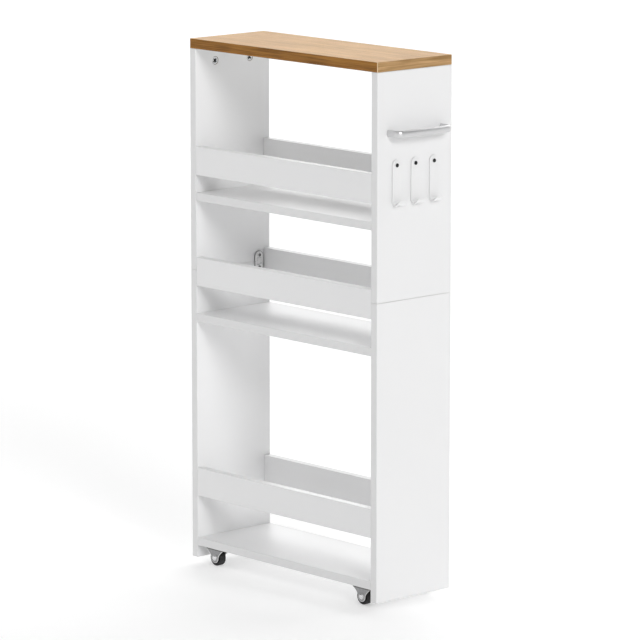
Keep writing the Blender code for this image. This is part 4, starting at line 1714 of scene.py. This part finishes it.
@dataclass(frozen=True)
class Casters:
    """The four fixed casters: pressed brackets, their screws, hollow axle rivets and black wheels."""

    sheet: float = 0.0015
    foot_radius: float = 0.0095
    flank_power: float = 1.7
    flank_steps: int = 18
    foot_steps: int = 24
    edge: float = 0.0003
    screw_spacing: float = 0.042
    screw_hole: float = 0.0020
    screw_hole_sides: int = 20
    screw_twist: float = 0.3
    fold: float = 0.0020
    fold_steps: int = 4
    boss_radius: float = 0.0068
    boss_height: float = 0.0005
    rivet_shank: float = 0.0022
    rivet_head: float = 0.0055
    rivet_height: float = 0.0018

    def build(self) -> None:
        """Make every piece of the four casters."""
        names = [f"{face.label}_{end.label}" for face in Face for end in End]
        bracket = self.bracket(Box.of(f"{names[0]}_bracket"), Box.of(f"{names[0]}_axle"))
        screws, rivets, bosses = [], [], []
        for name in names:
            box, axle = Box.of(f"{name}_bracket"), Box.of(f"{name}_axle").centre
            mesh = moved(f"{name}_bracket_pressing", bracket, Matrix.Translation(axle))
            piece = workshop_object(mesh.name, mesh)
            steel = PressedZinc().material(name, box, axle, self.leg(box, axle), self.sheet, self.fold)
            present(piece, steel, CART, (f"{name}_bracket",))
            for way in (-1, 1):
                facing = Vector((0, way, 0))
                leg_face = Vector((axle.x, axle.y + way * box.half.y, axle.z))
                rivets.append(Place(leg_face + SKIN / 2 * facing, facing))
                bosses.append(Place(leg_face, facing))
                ceiling = Vector((axle.x + way * self.screw_spacing / 2, axle.y, box.high.z - self.sheet))
                screws.append(Place(ceiling, Vector((0, 0, -1)), self.screw_twist * way))
        self.fasteners(box, screws, rivets, bosses, tuple(f"{name}_axle" for name in names))
        wheel = CasterWheel(Box.of(f"{names[0]}_wheel").half.z, Box.of(f"{names[0]}_wheel").half.y)
        wheel.build(names)

    def fasteners(
        self,
        bracket: Box,
        screws: list[Place],
        rivets: list[Place],
        bosses: list[Place],
        axles: tuple[str, ...],
    ) -> None:
        """Set the screws, the axle rivets and the bosses round them.

        Args:
            bracket: A bracket's box.
            screws: The screws' places.
            rivets: The places of the half rivets.
            bosses: The places of the pressed rings.
            axles: The axle nodes that the rivets stand for.
        """
        screw = Screw(
            head_radius=0.0034,
            head_height=0.0016,
            shank_radius=0.0016,
            length=0.0120,
            recess_length=0.0036,
            recess_width=0.0009,
            recess_depth=0.0010,
        )
        FastenerSet("caster_screws", screw, screws, BRIGHT_ZINC, Slot.ZINC_FITTINGS).build()
        rivet = AxleRivet(self.rivet_shank, bracket.half.y + SKIN / 2, self.rivet_head, self.rivet_height)
        FastenerSet("axle_rivets", rivet, rivets, POLISHED_ZINC, Slot.ZINC_FITTINGS, axles).build()
        boss = Boss(self.boss_radius, self.rivet_head + SKIN, self.boss_height, self.sheet / 2)
        FastenerSet("bracket_bosses", boss, bosses, SHEET_ZINC, Slot.CASTER_STEEL).build()

    def leg(self, box: Box, axle: Vector) -> LegOutline:
        """The outline of a bracket's legs."""
        shoulder = box.high.z - axle.z - self.sheet
        return LegOutline(self.foot_radius, box.half.x - self.foot_radius, shoulder, self.flank_power)

    def outline(self, half_length: float, top: float) -> list[tuple[float, float]]:
        """Side view of a bracket about its axle: X along the cart, then height.

        Args:
            half_length: Half of the top's length.
            top: The height of the top over the axle.

        Returns:
            The outline's points.
        """
        shoulder = top - self.sheet
        spread = half_length - self.foot_radius
        right = [(half_length, top), (half_length, shoulder)]
        for step in range(1, self.flank_steps + 1):
            share = 1 - step / self.flank_steps
            right.append((self.foot_radius + spread * share**self.flank_power, shoulder * share))
        foot = []
        for step in range(1, self.foot_steps):
            angle = math.pi * step / self.foot_steps
            foot.append((self.foot_radius * math.cos(angle), -self.foot_radius * math.sin(angle)))
        left = [(-x, height) for x, height in reversed(right)]
        return right + foot + left

    def folded(self, blank: bpy.types.Mesh, top: float) -> bpy.types.Mesh:
        """A blank whose two long top edges are rounded by the fold of the sheet."""
        work = bmesh.new()
        work.from_mesh(blank)
        folds = []
        for edge in work.edges:
            first, second = (vert.co for vert in edge.verts)
            if min(first.z, second.z) > top - SKIN and abs(first.y - second.y) < SKIN:
                folds.append(edge)
        sockets = {"offset": self.fold, "segments": self.fold_steps, "profile": 0.5, "affect": "EDGES"}
        bmesh.ops.bevel(work, geom=folds, **sockets)
        return close_up("bracket", work)

    def bracket(self, box: Box, axle: Box) -> bpy.types.Mesh:
        """A bracket about its axle's middle: a folded sheet with two legs."""
        half = box.half.y
        top = box.high.z - axle.centre.z
        outline = self.outline(box.half.x, top)
        blank = loft("bracket", [[Vector((x, y, z)) for x, z in outline] for y in (-half, half)])
        blank = self.folded(blank, top)
        channel_half = half - self.sheet
        reach = box.size.x
        ceiling = top - self.sheet
        floor_side = [(-channel_half, -reach), (channel_half, -reach)]
        ceiling_side = [(channel_half, ceiling), (-channel_half, ceiling)]
        channel = [[Vector((x, y, z)) for y, z in floor_side + ceiling_side] for x in (-reach, reach)]
        cutters = [loft("channel", channel)]
        for way in (-1, 1):
            shift = Vector((way * self.screw_spacing / 2, 0, 0))
            heights = (ceiling - SKIN, top + SKIN)
            rings = [circle(self.screw_hole, self.screw_hole_sides, height) for height in heights]
            cutters.append(loft("screw_hole", [[point + shift for point in ring] for ring in rings]))
        return machined("bracket", blank, cutters, self.edge)


@dataclass(frozen=True)
class CasterWheel:
    """A moulded wheel about Z: a hub, a recessed web with ribs, and a tread with a rounded shoulder."""

    radius: float
    half_width: float
    bore: float = 0.0025
    hub: float = 0.0045
    rim: float = 0.0116
    web_sink: float = 0.0016
    hub_draft: float = 0.0003
    rim_chamfer: tuple[float, float] = (0.0004, 0.0002)
    rim_face: float = 0.0007
    groove: tuple[float, float] = (0.00015, 0.0002)
    shoulder: float = 0.0015
    rib_width: float = 0.0012
    ribs: int = 8
    hub_proud: float = 0.0005
    sides: int = 72
    shoulder_steps: int = 5

    def build(self, names: list[str]) -> None:
        """Make the wheel once and set it on each of the casters.

        Args:
            names: The casters' names, which start the names of their wheels.
        """
        tree = GeometryTree("caster_wheel")
        plain = BlackRubber().material("pattern", Box.of(f"{names[0]}_wheel"))
        pattern = tree.run("wheel_pattern", self.ribbed(tree), self.body(), plain)
        for name in names:
            box = Box.of(f"{name}_wheel")
            place = Place(box.centre, Vector((0, 1, 0)))
            mesh = moved(f"{name}_wheel_moulding", pattern.data, place.matrix)
            piece = workshop_object(mesh.name, mesh)
            finish = BlackRubber().material(f"{name}_wheel", box)
            present(piece, finish, f"{name}_wheel", (f"{name}_wheel",))
        discard(pattern)

    def body(self) -> bpy.types.Mesh:
        """The wheel without its ribs, turned about Z."""
        face = self.half_width - self.hub_proud
        web = face - self.web_sink
        chamfer_width, chamfer_drop = self.rim_chamfer
        half = [
            (self.bore, self.half_width),
            (self.hub, self.half_width),
            (self.hub + self.hub_draft, web),
            (self.rim, web),
            (self.rim + chamfer_width, face - chamfer_drop),
            (self.rim + self.rim_face, face),
        ]
        for step in range(self.shoulder_steps + 1):
            angle = math.pi / 2 * step / self.shoulder_steps
            reach = self.radius - self.shoulder + self.shoulder * math.sin(angle)
            half.append((reach, face - self.shoulder + self.shoulder * math.cos(angle)))
        depth, half_groove = self.groove
        half += [(self.radius, 2 * half_groove), (self.radius - depth, half_groove)]
        whole = half + [(radius, -height) for radius, height in reversed(half)]
        return loft("wheel", [circle(radius, self.sides, height) for radius, height in whole], closed=True)

    def ribbed(self, tree: GeometryTree) -> Value:
        """The wheel as nodes, with its ribs fused on both sides."""
        size = tree.sizes(self)
        middle = (size["hub"] + size["rim"]) / 2
        length = size["rim"] - size["hub"] + size["rib_width"]
        thickness = (size["half_width"] - size["hub_proud"]) * 2 - size["web_sink"]
        rib = tree.block(length, size["rib_width"], thickness)
        spots = {"Vertices": size["ribs"], "Radius": middle}
        ring = tree.node("GeometryNodeMeshCircle", {"fill_type": "NONE"}, spots)
        here = tree.node("GeometryNodeInputPosition")
        aim = tree.node("FunctionNodeAlignRotationToVector", {"axis": "X"}, {"Vector": here})
        copies = {"Points": ring, "Instance": rib, "Rotation": aim}
        ribs = tree.node("GeometryNodeInstanceOnPoints", {}, copies)
        solid = tree.node("GeometryNodeRealizeInstances", {}, {"Geometry": ribs})
        sockets = {"Mesh 2": [tree.host, solid]}
        return tree.node("GeometryNodeMeshBoolean", {"operation": "UNION", "solver": "EXACT"}, sockets)


# ------------------------------
# Studio
# ------------------------------


@dataclass(frozen=True)
class Lamp:
    """A distant soft lamp."""

    name: str
    towards: tuple[float, float, float]
    strength: float
    spread: float

    def hang(self) -> None:
        """Add the lamp, which shines from the side that it is named for."""
        data = bpy.data.lights.new(self.name, "SUN")
        data.energy = self.strength
        data.angle = math.radians(self.spread)
        lamp = bpy.data.objects.new(self.name, data)
        lamp.rotation_mode = "QUATERNION"
        lamp.rotation_quaternion = Vector(self.towards).to_track_quat("Z", "Y")
        bpy.context.scene.collection.objects.link(lamp)


@dataclass(frozen=True)
class Studio:
    """A pale floor, a soft white surround, lamps and the camera.

    The surround's soft boxes start and end softly, over the pairs of values given. The box behind the cart is
    bounded by how far a direction looks backwards and by its height, the others by height only.
    """

    lens: float = 241.4
    azimuth: float = math.radians(47.63)
    elevation: float = math.radians(10.31)
    distance: float = 7.784
    aim: tuple[float, float, float] = (-0.0134, 0.0005, -0.0088)
    floor_half: float = 60.0
    floor_tone: Colour = (0.70, 0.70, 0.70)
    floor_patch: Colour = (0.69, 0.69, 0.69)
    floor_glow: float = 0.41
    floor_cloud: float = 0.4
    floor_roughness: float = 0.7
    floor_specular: float = 0.2
    surround: float = 0.13
    skyline_fade: tuple[float, float] = (0.08, 0.16)
    overhead: float = 0.38
    overhead_fade: tuple[float, float] = (0.65, 0.80)
    back_box: float = 3.60
    back_turn: float = math.radians(22)
    back_sides: tuple[float, float] = (0.50, 0.70)
    back_foot: tuple[float, float] = (0.20, 0.30)
    back_head: tuple[float, float] = (0.60, 0.75)
    lamps: tuple[Lamp, ...] = (
        Lamp("key", (1.0, -0.31, 0.49), 1.24, 20.0),
        Lamp("front_fill", (-0.10, -1.0, 0.50), 0.42, 60.0),
    )

    def build(self) -> None:
        """Set up the whole studio."""
        self.set_floor()
        self.set_surround()
        for lamp in self.lamps:
            lamp.hang()
        self.set_camera()
        bpy.context.scene.view_settings.view_transform = "Standard"

    def set_floor(self) -> None:
        """A wide plain floor, which can be seen through from below."""
        half = self.floor_half
        mesh = bpy.data.meshes.new("floor")
        corners = [(-half, -half, 0), (half, -half, 0), (half, half, 0), (-half, half, 0)]
        mesh.from_pydata(corners, [], [(0, 1, 2, 3)])
        tree = ShaderTree("studio_floor")
        tone = tree.noise(tree.position(), self.floor_cloud, 2.0)
        colour = tree.mix(tone, self.floor_tone, self.floor_patch)
        tree.surface(
            base_color=colour,
            roughness=self.floor_roughness,
            specular_ior_level=self.floor_specular,
            emission_color=colour,
            emission_strength=self.floor_glow / self.floor_tone[0],
        )
        facing_away = tree.node("ShaderNodeNewGeometry").output("Backfacing")
        clear = tree.node("ShaderNodeBsdfTransparent")
        shader = Value(tree, tree.shader.outputs[0])
        shown = tree.node("ShaderNodeMixShader", {}, {0: facing_away, 1: shader, 2: clear})
        tree.feed(tree.tree.nodes["Material Output"].inputs[0], shown)
        mesh.materials.append(tree.material)
        workshop_object("studio_floor", mesh)

    def set_surround(self) -> None:
        """A dim white surround, white at the horizon, with soft boxes overhead and behind the cart."""
        world = bpy.data.worlds.new("studio")
        world.use_nodes = True
        tree = NodeTree(world.node_tree)
        direction = tree.node("ShaderNodeTexCoord").output("Generated")
        x, y, z = tree.split(direction)
        along = y * math.cos(self.back_turn) - x * math.sin(self.back_turn)
        box = along.ramp(*self.back_sides) * z.ramp(*self.back_foot) * (1 - z.ramp(*self.back_head))
        above = (self.overhead - self.surround) * z.ramp(*self.overhead_fade)
        level = self.surround + above + self.back_box * box
        level = level.most(1 - z.ramp(*self.skyline_fade))
        colour = tree.join(level, level, level)
        tree.feed(world.node_tree.nodes["Background"].inputs["Color"], colour)
        bpy.context.scene.world = world

    def set_camera(self) -> None:
        """The camera, to the right of the front and a little above the cart."""
        low, high = cad_box
        target = (low + high) / 2 + Vector(self.aim)
        flat = math.cos(self.elevation)
        across, along = math.sin(self.azimuth) * flat, math.cos(self.azimuth) * flat
        back = Vector((across, -along, math.sin(self.elevation)))
        data = bpy.data.cameras.new("camera")
        data.lens = self.lens
        data.clip_end = 2 * self.floor_half
        camera = bpy.data.objects.new("camera", data)
        camera.rotation_mode = "QUATERNION"
        camera.location = target + back * self.distance
        camera.rotation_quaternion = back.to_track_quat("Z", "Y")
        bpy.context.scene.collection.objects.link(camera)
        bpy.context.scene.camera = camera


def main() -> None:
    """Build the cart's looks piece by piece, then the studio."""
    logging.basicConfig(level=logging.INFO, format="%(message)s")
    for assembly in (Carcass(), CamLocks(), JoiningPlates(), PullHandle(), Hooks(), Casters(), Studio()):
        log.info("building %s", type(assembly).__name__)
        assembly.build()


if __name__ == "__main__":
    main()
